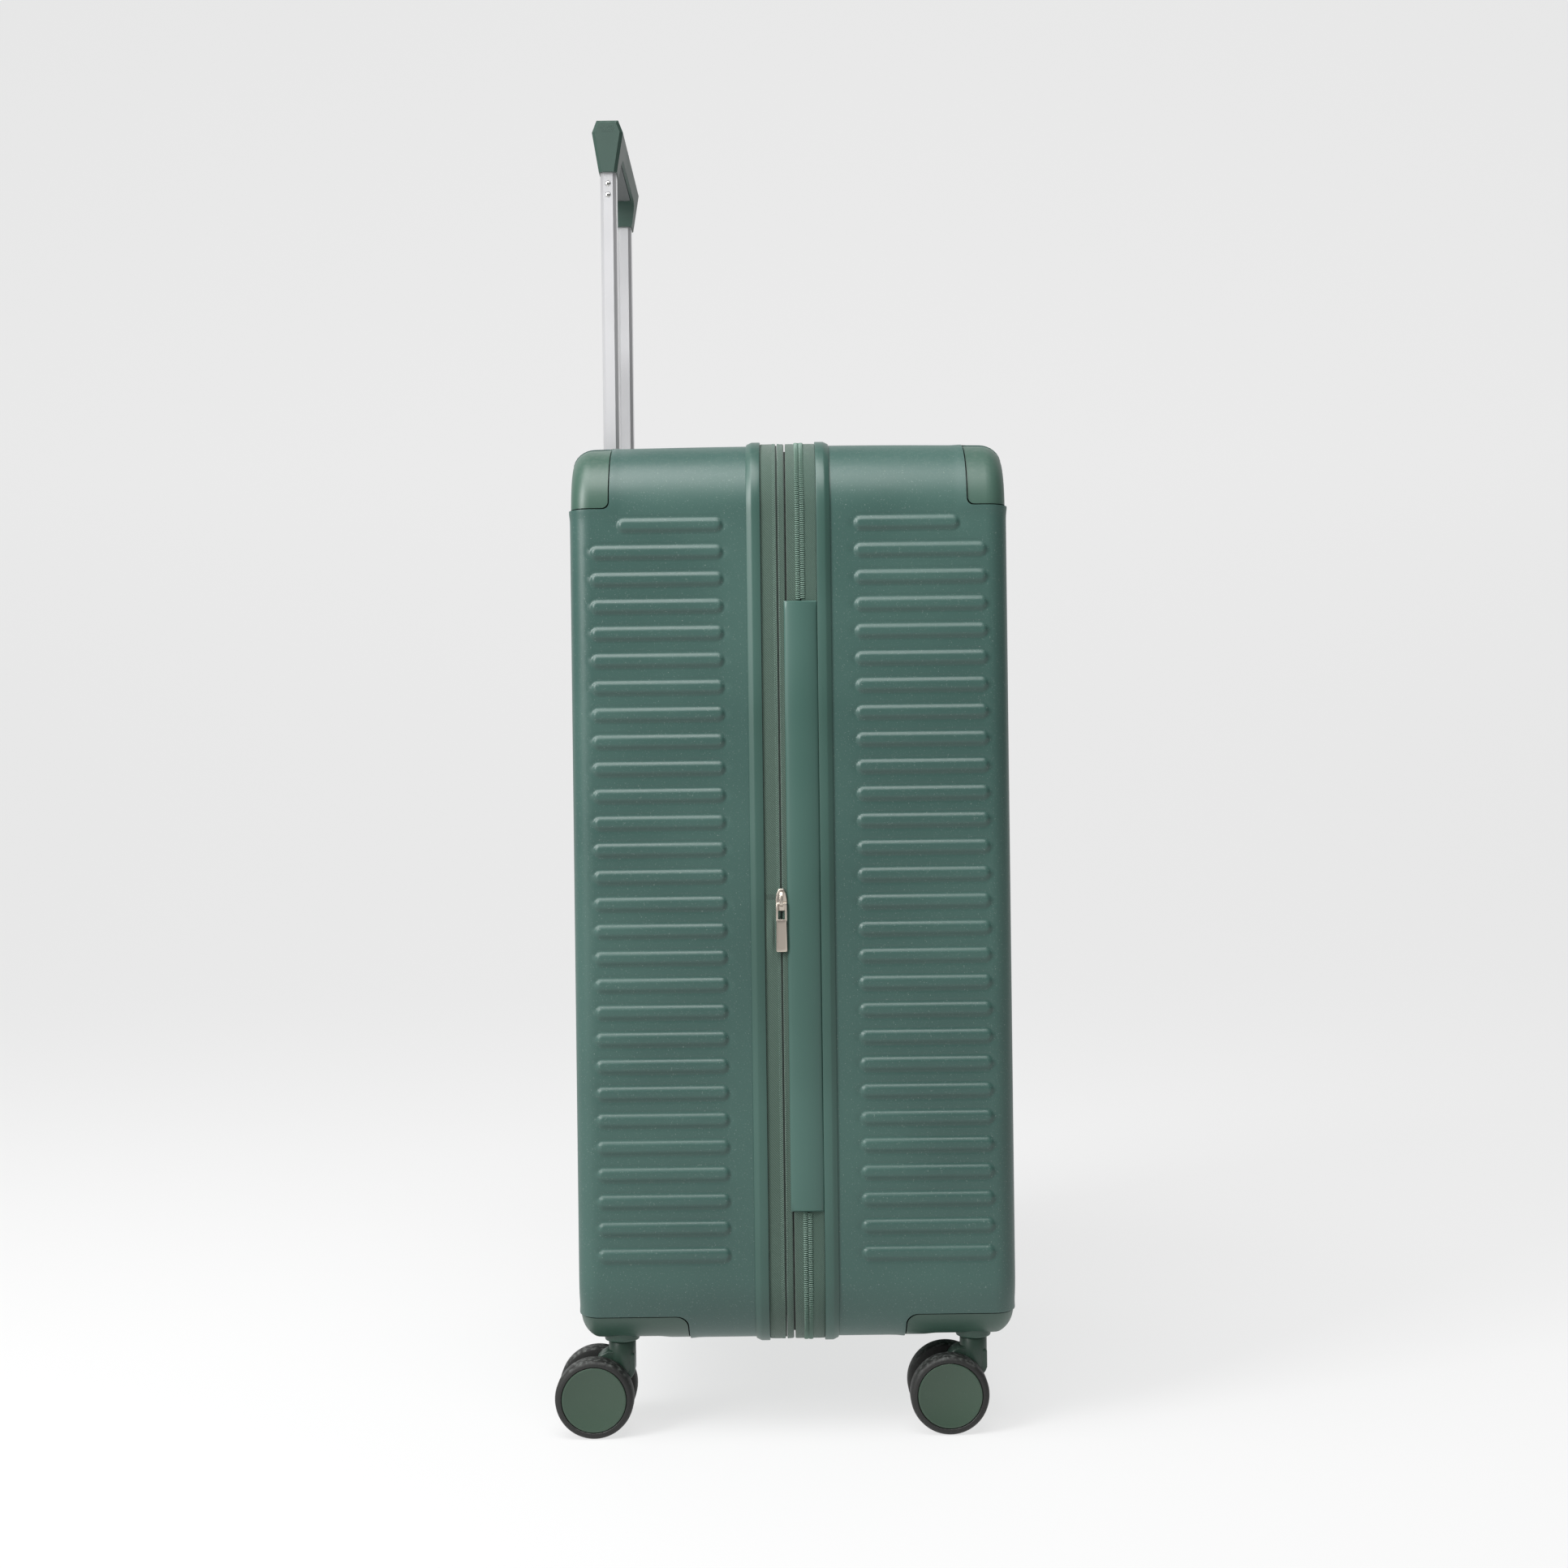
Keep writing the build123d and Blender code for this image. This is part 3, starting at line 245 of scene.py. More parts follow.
def revolved(name: str, outline: Sequence[tuple[float, float]], axes: Axes, segments: int = 64,
             closed: bool = False, sharp: float = 32.0) -> bpy.types.Object:
    """Turns an outline of (radius, height) pairs about the local Z axis.

    Args:
        name: The object's name.
        outline: Points from bottom to top; a radius of 0 closes that end.
        axes: Where the turning axis stands.
        segments: Steps round the axis.
        closed: True joins the last point back to the first.
        sharp: Edge angle for shading, in degrees.

    Returns:
        The object.
    """
    turn = np.linspace(0, 2 * math.pi, segments, endpoint=False)
    points, rings = [], []
    for radius, height in outline:
        if radius < 1e-6:
            rings.append([len(points)])
            points.append((0.0, 0.0, height))
        else:
            rings.append(list(range(len(points), len(points) + segments)))
            points += [(radius * math.cos(t), radius * math.sin(t), height) for t in turn]
    faces = []
    pairs = list(zip(rings, rings[1:])) + ([(rings[-1], rings[0])] if closed else [])
    for low, high in pairs:
        for i in range(segments):
            j = (i + 1) % segments
            if len(low) == 1 and len(high) == 1:
                continue
            if len(low) == 1:
                faces.append((low[0], high[j], high[i]))
            elif len(high) == 1:
                faces.append((low[i], low[j], high[0]))
            else:
                faces.append((low[i], low[j], high[j], high[i]))
    made = build(name, axes.place(np.array(points)), faces, sharp)
    outward(made)
    return made


def outward(obj: bpy.types.Object) -> None:
    """Turns every face of a closed mesh to look outwards."""
    mesh = bmesh.new()
    mesh.from_mesh(obj.data)
    bmesh.ops.recalc_face_normals(mesh, faces=mesh.faces)
    mesh.to_mesh(obj.data)
    mesh.free()


def plate(name: str, outline: Sequence[tuple[float, float]], low: float, high: float, axes: Axes,
          edge: float = 0.0, segments: int = 2, sharp: float = 32.0) -> bpy.types.Object:
    """A flat piece of any outline, with rounded edges.

    Args:
        name: The object's name.
        outline: Corner points in local X and Y.
        low: Local Z of one face.
        high: Local Z of the other face.
        axes: The local frame.
        edge: Radius of the rounded edges.
        segments: Steps of the rounding.
        sharp: Edge angle for shading, in degrees.

    Returns:
        The object.
    """
    count = len(outline)
    points = [(x, y, z) for z in (low, high) for x, y in outline]
    faces = [tuple(range(count))[::-1], tuple(range(count, 2 * count))]
    faces += [(i, (i + 1) % count, count + (i + 1) % count, count + i) for i in range(count)]
    made = build(name, axes.place(np.array(points)), faces, sharp)
    outward(made)
    if edge > 0:
        rounded_edges(made, edge, segments)
        settle(made, sharp)
    return made


def rounded_rectangle(width: float, length: float, radius: float, steps: int = 6,
                      centre: tuple[float, float] = (0.0, 0.0)) -> list[tuple[float, float]]:
    """The outline of a rectangle with rounded corners, counterclockwise."""
    points = []
    for corner, (sx, sy) in enumerate(((1, 1), (-1, 1), (-1, -1), (1, -1))):
        cx, cy = centre[0] + sx * (width / 2 - radius), centre[1] + sy * (length / 2 - radius)
        for i in range(steps + 1):
            turn = math.radians(90 * (corner + i / steps))
            points.append((cx + radius * math.cos(turn), cy + radius * math.sin(turn)))
    return points


def block(name: str, low: Sequence[float], high: Sequence[float], edge: float = 0.0) -> bpy.types.Object:
    """A closed box between two corners with all its edges rounded, used as a cutter."""
    axes = Axes((0.0, 0.0, 0.0))
    outline = [(low[0], low[1]), (high[0], low[1]), (high[0], high[1]), (low[0], high[1])]
    return plate(name, outline, low[2], high[2], axes, edge, 6)


def grid_faces(rows: int, columns: int, start: int = 0,
               wrap: bool = False) -> list[tuple[int, int, int, int]]:
    """Faces of a grid of points stored row by row; wrap joins the last row to the first."""
    faces = []
    for i in range(rows if wrap else rows - 1):
        k = (i + 1) % rows
        for j in range(columns - 1):
            faces.append((start + i * columns + j, start + k * columns + j,
                          start + k * columns + j + 1, start + i * columns + j + 1))
    return faces


def repeated(name: str, template: tuple[np.ndarray, list[tuple[int, ...]]], places: Sequence[np.ndarray],
             sharp: float = 32.0) -> bpy.types.Object:
    """One object that holds a small form many times.

    Args:
        name: The object's name.
        template: Points and faces of the small form, in millimetres.
        places: One 4 x 3 array for each copy: origin, local X, Y and Z directions.
        sharp: Edge angle for shading, in degrees.

    Returns:
        The object.
    """
    points, faces = template
    frames = np.array(places, float)
    moved = frames[:, None, 0, :] + np.einsum("pk,nkc->npc", points, frames[:, 1:, :])
    size = len(points)
    all_faces = [tuple(v + i * size for v in face) for i in range(len(places)) for face in faces]
    return build(name, moved.reshape(-1, 3), all_faces, sharp)


# --------------------------------------------------------------------------- shader helpers
class Graph:
    """A short way to write a node tree."""

    def __init__(self, tree: bpy.types.NodeTree) -> None:
        """Keeps the tree that nodes are added to."""
        self.tree = tree

    def node(self, kind: str, inputs: Optional[dict] = None, **settings: object) -> bpy.types.Node:
        """Adds a node.

        Args:
            kind: The node's type, without its ShaderNode prefix where it has one.
            inputs: Values or sockets for its inputs, by name or number.
            **settings: The node's own properties.

        Returns:
            The node.
        """
        name = kind if kind.startswith("NodeGroup") else f"ShaderNode{kind}"
        made = self.tree.nodes.new(name)
        for key, value in settings.items():
            setattr(made, key, value)
        for key, value in (inputs or {}).items():
            self.feed(made.inputs[key], value)
        return made

    def feed(self, socket: bpy.types.NodeSocket, value: object) -> None:
        """Links a socket to an input, or sets the input's own value."""
        if isinstance(value, bpy.types.NodeSocket):
            self.tree.links.new(value, socket)
        else:
            socket.default_value = value

    def math(self, operation: str, *values: object) -> bpy.types.NodeSocket:
        """The result of one Math node."""
        made = self.node("Math", operation=operation)
        for i, value in enumerate(values):
            self.feed(made.inputs[i], value)
        return made.outputs[0]

    def mix(self, factor: object, low: object, high: object) -> bpy.types.NodeSocket:
        """A colour between two, by a factor."""
        made = self.node("Mix", data_type="RGBA")
        self.feed(made.inputs[0], factor)
        self.feed(made.inputs[6], low)
        self.feed(made.inputs[7], high)
        return made.outputs[2]

    def ramp(self, value: object, low: float, high: float, to_low: float = 0.0,
             to_high: float = 1.0) -> bpy.types.NodeSocket:
        """A value taken smoothly from one range to another."""
        made = self.node("MapRange", interpolation_type="SMOOTHSTEP")
        for i, entry in enumerate((value, low, high, to_low, to_high)):
            self.feed(made.inputs[i], entry)
        return made.outputs[0]


def shader_group(name: str, inputs: dict[str, float], outputs: Sequence[str]) -> tuple[
        bpy.types.NodeTree, Graph, bpy.types.Node, bpy.types.Node]:
    """An empty node group with number sockets.

    Args:
        name: The group's name.
        inputs: Input names with their default values.
        outputs: Output names.

    Returns:
        The tree, its graph, and its input and output nodes.
    """
    tree = bpy.data.node_groups.new(name, "ShaderNodeTree")
    for label, value in inputs.items():
        socket = tree.interface.new_socket(label, in_out="INPUT", socket_type="NodeSocketFloat")
        socket.default_value = value
    for label in outputs:
        tree.interface.new_socket(label, in_out="OUTPUT", socket_type="NodeSocketFloat")
    graph = Graph(tree)
    source = graph.node("NodeGroupInput")
    sink = graph.node("NodeGroupOutput")
    return tree, graph, source, sink


def grain_group() -> bpy.types.NodeTree:
    """Fine pebbled grain of moulded plastic, with slow clouds of colour and fine painted glints.

    Returns:
        A group that puts out the grain's height, a mask of near-white painted glints and a cloud mask.
    """
    tree, g, source, sink = shader_group("moulded_grain", {"Scale": 1.0}, ("Height", "Sparkle", "Cloud"))
    place = g.node("TexCoord").outputs["Object"]
    fine = g.node("TexNoise", {"Vector": place, "Detail": 3.0, "Roughness": 0.6})
    g.feed(fine.inputs["Scale"], g.math("MULTIPLY", source.outputs["Scale"], 900.0))
    pebble = g.node("TexVoronoi", {"Vector": place})
    g.feed(pebble.inputs["Scale"], g.math("MULTIPLY", source.outputs["Scale"], 1500.0))
    height = g.math("ADD", g.math("MULTIPLY", fine.outputs[0], 0.6),
                    g.math("MULTIPLY", pebble.outputs["Distance"], 0.5))
    cloud = g.node("TexNoise", {"Vector": place, "Scale": 7.0, "Detail": 2.0})
    g.feed(sink.inputs["Height"], height)
    # Painted glints: the brightest specks of the fine noise, where near-white glints are painted.
    g.feed(sink.inputs["Sparkle"], g.ramp(fine.outputs[0], 0.60, 0.78))
    g.feed(sink.inputs["Cloud"], g.ramp(cloud.outputs[0], 0.3, 0.7))
    return tree


def weave_group() -> bpy.types.NodeTree:
    """Twill woven from threads, from distances along and across the cloth in millimetres.

    Returns:
        A group that puts out the threads' height and a mask of painted shade that makes the twill's ridges
        lighter than its grooves.
    """
    tree, g, source, sink = shader_group("twill_weave", {"Along": 0.0, "Across": 0.0, "Pitch": 1.0},
                                         ("Height", "Tone"))
    along = g.math("DIVIDE", source.outputs["Along"], source.outputs["Pitch"])
    across = g.math("DIVIDE", source.outputs["Across"], source.outputs["Pitch"])
    rib = g.math("ABSOLUTE", g.math("SINE", g.math("MULTIPLY", g.math("ADD", along, across), math.pi)))
    thread = g.math("ABSOLUTE", g.math("SINE", g.math("MULTIPLY", across, 2 * math.pi)))
    step = g.math("ABSOLUTE", g.math("SINE", g.math("MULTIPLY", along, 2 * math.pi)))
    height = g.math("ADD", g.math("MULTIPLY", rib, 0.6),
                    g.math("MULTIPLY", g.math("MULTIPLY", thread, step), 0.5))
    place = g.node("TexCoord").outputs["Object"]
    fuzz = g.node("TexNoise", {"Vector": place, "Scale": 1800.0, "Detail": 2.0})
    g.feed(sink.inputs["Height"], g.math("ADD", height, g.math("MULTIPLY", fuzz.outputs[0], 0.35)))
    # Painted shade: the colour follows the twill ridges, lighter on their crests and darker in the grooves, with
    # a little fibre fuzz.
    g.feed(sink.inputs["Tone"], g.math("MULTIPLY", rib, g.ramp(fuzz.outputs[0], 0.25, 0.75, 0.7, 1.0)))
    return tree


def wear_group() -> bpy.types.NodeTree:
    """Rubbed edges and settled dust.

    Returns:
        A group that puts out a mask of worn edges and a mask of dust on upward faces.
    """
    tree, g, source, sink = shader_group("wear_and_dust", {"Wear": 1.0, "Dust": 1.0}, ("Edges", "Dust"))
    geometry = g.node("NewGeometry")
    place = g.node("TexCoord").outputs["Object"]
    patch = g.node("TexNoise", {"Vector": place, "Scale": 45.0, "Detail": 4.0})
    edges = g.math("MULTIPLY", g.ramp(geometry.outputs["Pointiness"], 0.515, 0.60),
                   g.ramp(patch.outputs[0], 0.3, 0.7))
    g.feed(sink.inputs["Edges"], g.math("MULTIPLY", edges, source.outputs["Wear"]))
    up = g.node("SeparateXYZ", {0: g.node("TexCoord").outputs["Normal"]}).outputs[2]
    speck = g.node("TexNoise", {"Vector": place, "Scale": 320.0, "Detail": 3.0})
    dust = g.math("MULTIPLY", g.ramp(up, 0.2, 1.0), g.ramp(speck.outputs[0], 0.42, 0.75))
    g.feed(sink.inputs["Dust"], g.math("MULTIPLY", dust, source.outputs["Dust"]))
    return tree


class Effects:
    """The node groups that more than one material uses, each built once."""

    def __init__(self) -> None:
        """Builds the groups."""
        self.grain = grain_group()
        self.weave = weave_group()
        self.wear = wear_group()


def linear(rgb: tuple[int, int, int]) -> tuple[float, float, float, float]:
    """A colour of 0 to 255 screen values as scene values with full opacity."""
    def channel(value: int) -> float:
        """One screen value as a scene value."""
        v = value / 255
        return v / 12.92 if v <= 0.04045 else ((v + 0.055) / 1.055) ** 2.4
    return (channel(rgb[0]), channel(rgb[1]), channel(rgb[2]), 1.0)


class Surface(Enum):
    """What kind of surface a finish has."""

    MOULDED = "moulded"
    METAL = "metal"
    WOVEN = "woven"
    WOVEN_FREE = "woven_free"


@dataclass(frozen=True)
class Finish:
    """One material: its colours, gloss and small relief."""

    name: str
    colour: tuple[int, int, int]
    # light: a lighter colour for the slow clouds and rubbed edges; on woven finishes, also the painted lit colour
    # of the twill ridges.
    light: tuple[int, int, int]
    surface: Surface = Surface.MOULDED
    roughness: float = 0.45
    metallic: float = 0.0
    grain: float = 1.0
    relief: float = 0.02
    # Strength of the near-white painted glints in fine specks.
    sparkle: float = 0.15
    wear: float = 0.3
    dust: float = 0.1
    coat: float = 0.0
    coat_roughness: float = 0.3
    sheen: float = 0.0
    pitch: float = 1.0
    specular: float = 0.5

    def material(self, effects: Effects) -> bpy.types.Material:
        """Builds the material.

        Args:
            effects: The shared node groups.

        Returns:
            The material, made once for each finish.
        """
        found = bpy.data.materials.get(self.name)
        if found:
            return found
        made = bpy.data.materials.new(self.name)
        made.use_nodes = True
        g = Graph(made.node_tree)
        shader = made.node_tree.nodes["Principled BSDF"]
        shader.inputs["Metallic"].default_value = self.metallic
        shader.inputs["Coat Weight"].default_value = self.coat
        shader.inputs["Coat Roughness"].default_value = self.coat_roughness
        shader.inputs["Sheen Weight"].default_value = self.sheen
        shader.inputs["Specular IOR Level"].default_value = self.specular
        grain = g.node("Group", node_tree=effects.grain)
        grain.inputs["Scale"].default_value = self.grain
        wear = g.node("Group", node_tree=effects.wear)
        wear.inputs["Wear"].default_value = self.wear
        wear.inputs["Dust"].default_value = self.dust
        # tone_and_ridge_shade: random clouds of colour on moulded finishes; on woven finishes, the painted shade
        # of the twill ridges.
        height, tone_and_ridge_shade = grain.outputs["Height"], grain.outputs["Cloud"]
        if self.surface in (Surface.WOVEN, Surface.WOVEN_FREE):
            weave = g.node("Group", node_tree=effects.weave)
            weave.inputs["Pitch"].default_value = self.pitch
            self.lay(g, weave)
            height, tone_and_ridge_shade = weave.outputs["Height"], weave.outputs["Tone"]
        # Mixes towards the lighter colour: random clouds on moulded finishes, painted ridge shade on woven ones.
        colour = g.mix(tone_and_ridge_shade, linear(self.colour), linear(self.light))
        # Painted glints: near-white specks mixed into the colour.
        colour = g.mix(g.math("MULTIPLY", grain.outputs["Sparkle"], self.sparkle), colour,
                       linear((205, 215, 210)))
        colour = g.mix(wear.outputs["Edges"], colour, linear(self.light))
        colour = g.mix(wear.outputs["Dust"], colour, linear((170, 176, 172)))
        g.feed(shader.inputs["Base Color"], colour)
        rough = g.ramp(grain.outputs["Cloud"], 0.0, 1.0, self.roughness - 0.04, self.roughness + 0.04)
        g.feed(shader.inputs["Roughness"], g.math("ADD", rough, g.math("MULTIPLY", wear.outputs["Dust"], 0.2)))
        bump = g.node("Bump", {"Height": height, "Strength": 1.0, "Distance": self.relief * MM})
        g.feed(shader.inputs["Normal"], bump.outputs[0])
        return made

    def lay(self, g: Graph, weave: bpy.types.Node) -> None:
        """Feeds a weave its distances, from the cloth's own measure or from the piece's place."""
        if self.surface is Surface.WOVEN:
            for label in ("Along", "Across"):
                source = g.node("Attribute", attribute_name=label.lower())
                g.feed(weave.inputs[label], source.outputs["Fac"])
            return
        place = g.node("SeparateXYZ", {0: g.node("TexCoord").outputs["Object"]})
        g.feed(weave.inputs["Along"], g.math("MULTIPLY", place.outputs[2], 1000.0))
        side = g.math("ADD", place.outputs[0], place.outputs[1])
        g.feed(weave.inputs["Across"], g.math("MULTIPLY", side, 1000.0))


@dataclass(frozen=True)
class Finishes:
    """Every finish of the suitcase."""

    shell: Finish = Finish("shell_polycarbonate", (52, 81, 75), (58, 89, 82), roughness=0.42, relief=0.05,
                           sparkle=0.22, wear=0.25, dust=0.05, grain=1.0)
    guard: Finish = Finish("guard_plastic", (55, 83, 71), (62, 90, 79), roughness=0.42, relief=0.02,
                           sparkle=0.05, wear=0.3, dust=0.08)
    rail: Finish = Finish("rail_plastic", (48, 77, 69), (58, 89, 81), roughness=0.38, relief=0.012,
                          sparkle=0.02, wear=0.35, dust=0.05)
    housing: Finish = Finish("housing_plastic", (50, 76, 66), (57, 83, 72), roughness=0.40, relief=0.02,
                             sparkle=0.03, wear=0.3, dust=0.15)
    fork: Finish = Finish("fork_plastic", (40, 62, 52), (49, 72, 61), roughness=0.38, relief=0.02,
                          sparkle=0.02, wear=0.4, dust=0.2)
    hub: Finish = Finish("hub_plastic", (52, 72, 58), (58, 79, 65), roughness=0.45, relief=0.015,
                         sparkle=0.03, wear=0.4, dust=0.15)
    tyre: Finish = Finish("tyre_rubber", (26, 27, 26), (34, 35, 33), roughness=0.62, relief=0.03,
                          sparkle=0.04, wear=0.5, dust=0.3, grain=0.7)
    steel: Finish = Finish("bright_steel", (178, 178, 176), (205, 205, 203), Surface.METAL, roughness=0.28,
                           metallic=1.0, relief=0.004, sparkle=0.0, wear=0.2, dust=0.05)
    tube: Finish = Finish("satin_aluminium", (222, 222, 224), (236, 236, 238), Surface.METAL, roughness=0.34,
                          metallic=0.75, relief=0.004, sparkle=0.0, wear=0.1, dust=0.02)
    grip: Finish = Finish("grip_plastic", (44, 64, 57), (51, 74, 66), roughness=0.46, relief=0.02,
                          sparkle=0.03, wear=0.3, dust=0.08)
    fitting: Finish = Finish("fitting_plastic", (42, 67, 60), (50, 77, 69), roughness=0.42, relief=0.02,
                             sparkle=0.03, wear=0.3, dust=0.08)
    inner_plastic: Finish = Finish("inner_plastic", (34, 36, 38), (48, 50, 52), roughness=0.5, relief=0.02,
                                   sparkle=0.02, wear=0.3, dust=0.1)
    # In the woven finishes below (tape, band, lining, strap) the second colour is the painted lit colour on the
    # twill ridges and the first the shaded colour in the grooves.
    tape: Finish = Finish("tape_twill", (45, 67, 58), (79, 101, 91), Surface.WOVEN, roughness=0.82,
                          relief=0.16, sparkle=0.0, wear=0.0, dust=0.04, sheen=0.25, pitch=1.5, specular=0.25)
    band: Finish = Finish("band_twill", (46, 67, 58), (84, 103, 93), Surface.WOVEN, roughness=0.85,
                          relief=0.18, sparkle=0.0, wear=0.0, dust=0.04, sheen=0.3, pitch=1.8, specular=0.2)
    strip: Finish = Finish("strip_coated", (55, 86, 78), (62, 94, 86), roughness=0.36, relief=0.012,
                           sparkle=0.02, wear=0.2, dust=0.05)
    coil: Finish = Finish("coil_nylon", (78, 104, 93), (104, 130, 118), roughness=0.4, relief=0.005,
                          sparkle=0.0, wear=0.4, dust=0.02)
    zip_metal: Finish = Finish("zip_die_casting", (188, 178, 166), (208, 199, 188), Surface.METAL,
                               roughness=0.34, metallic=0.85, relief=0.006, sparkle=0.03, wear=0.4, dust=0.05)
    lining: Finish = Finish("lining_cloth", (92, 98, 94), (122, 128, 124), Surface.WOVEN_FREE, roughness=0.85,
                            relief=0.08, sparkle=0.0, wear=0.0, dust=0.03, sheen=0.3, pitch=0.8, specular=0.2)
    strap: Finish = Finish("strap_webbing", (44, 58, 52), (72, 88, 80), Surface.WOVEN_FREE, roughness=0.75,
                           relief=0.2, sparkle=0.0, wear=0.0, dust=0.03, sheen=0.2, pitch=2.0, specular=0.25)
    figure: Finish = Finish("figure_paint", (205, 208, 204), (222, 225, 221), roughness=0.5, relief=0.005,
                            sparkle=0.0, wear=0.3, dust=0.02)
    dial: Finish = Finish("dial_plastic", (32, 40, 38), (44, 54, 50), roughness=0.4, relief=0.01,
                          sparkle=0.02, wear=0.4, dust=0.05)


FINISH = Finishes()
SLOT_FINISH = {name: getattr(FINISH, name) for name in (
    "shell", "guard", "rail", "housing", "fork", "hub", "tyre", "steel", "tube", "grip", "fitting",
    "inner_plastic", "tape", "strip", "zip_metal", "lining", "strap", "dial")}


@dataclass
class Workshop:
    """What every sub-assembly is built with: the frame and the shared effects."""

    frame: dict
    effects: Effects = field(default_factory=Effects)

    def mount(self, obj: bpy.types.Object, body: str, slot: str, *nodes: str,
              finish: Optional[Finish] = None) -> bpy.types.Object:
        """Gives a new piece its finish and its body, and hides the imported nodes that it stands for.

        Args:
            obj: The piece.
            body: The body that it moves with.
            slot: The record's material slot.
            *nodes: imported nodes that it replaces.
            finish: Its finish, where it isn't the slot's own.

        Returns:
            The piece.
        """
        self.paint(obj, finish or SLOT_FINISH[slot])
        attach(obj, body)
        self.note(obj, slot, *nodes)
        return obj

    def note(self, obj: bpy.types.Object, slot: str, *nodes: str) -> None:
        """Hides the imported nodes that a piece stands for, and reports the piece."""
        if nodes:
            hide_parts(*nodes)
        log.info("%-28s %6d faces  %s", obj.name, len(obj.data.polygons), ", ".join(nodes))

    def paint(self, obj: bpy.types.Object, finish: Finish) -> None:
        """Gives a whole piece one finish."""
        obj.data.materials.clear()
        obj.data.materials.append(finish.material(self.effects))

    def dress(self, node: str, finish: Finish, edge: float = 0.0, sharp: float = 30.0) -> None:
        """Gives a carried-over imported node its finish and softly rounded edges.

        Args:
            node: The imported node's name.
            finish: Its finish.
            edge: Radius of its rounded edges, 0 for none.
            sharp: Edge angle for shading, in degrees.
        """
        obj = self.frame["nodes"][node]
        self.paint(obj, finish)
        obj.data.polygons.foreach_set("material_index", np.zeros(len(obj.data.polygons), np.int32))
        obj.data.polygons.foreach_set("use_smooth", np.ones(len(obj.data.polygons), bool))
        obj.data.set_sharp_from_angle(angle=math.radians(sharp))
        if edge > 0:
            rounded_edges(obj, edge, 2, sharp)
        log.info("%-28s kept from the frame", node)


# --------------------------------------------------------------------------- the case's outer form
@dataclass(frozen=True)
class CaseForm:
    """The closed case's outer form, from which skins, covers and bands are worked out."""

    middle_x: float
    middle_z: float
    half_depth: float
    half_width: float
    half_height: float
    corner_r: float = 55.0
    edge_r: float = 16.0
    crown: float = 1.6

    @classmethod
    def from_frame(cls, rail_proud: float = 3.0, rib_proud: float = 1.2) -> "CaseForm":
        """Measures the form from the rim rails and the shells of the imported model."""
        low, high = (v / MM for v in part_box("back_rail"))
        back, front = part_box("back_shell")[0] / MM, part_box("front_shell")[1] / MM
        return cls((back.x + front.x) / 2, (low.z + high.z) / 2, (front.x - back.x) / 2 - rib_proud,
                   (high.y - low.y) / 2 - rail_proud, (high.z - low.z) / 2 - rail_proud)

    @property
    def top(self) -> float:
        """Height of the shells' top."""
        return self.middle_z + self.half_height

    @property
    def bottom(self) -> float:
        """Height of the shells' underside."""
        return self.middle_z - self.half_height

    def x(self, end: int, distance: float) -> float:
        """The X of a distance from the case's middle plane towards one end."""
        return self.middle_x + end * distance

    def rim(self, straight: float = 4.0, corner: int = 24) -> "Rim":
        """Points round the case's outline, starting at the middle of the hinge side and going up."""
        a, b, r = self.half_width - self.corner_r, self.half_height - self.corner_r, self.corner_r
        cores, normals = [], []
        corners = ((-1, 1), (1, 1), (1, -1), (-1, -1))
        start = (-a, 0.0)
        for i, (sy, sz) in enumerate(corners):
            core = (sy * a, sz * b)
            first = math.radians(180 - 90 * i)
            direction = (math.cos(first), math.sin(first))
            run = math.hypot(core[0] - start[0], core[1] - start[1])
            count = math.ceil(run / straight)
            for k in range(count):
                t = k / count
                cores.append((start[0] + (core[0] - start[0]) * t, start[1] + (core[1] - start[1]) * t))
                normals.append(direction)
            for k in range(corner):
                turn = first - math.radians(90) * k / corner
                cores.append(core)
                normals.append((math.cos(turn), math.sin(turn)))
            start = core
        count = math.ceil(b / straight)
        for k in range(count):
            cores.append((-a, -b + b * k / count))
            normals.append((-1.0, 0.0))
        cores, normals = np.array(cores), np.array(normals)
        edge = cores + normals * r
        steps = np.linalg.norm(np.roll(edge, -1, 0) - edge, axis=1)
        return Rim(self, cores, normals, np.concatenate([[0.0], np.cumsum(steps)[:-1]]), float(steps.sum()))


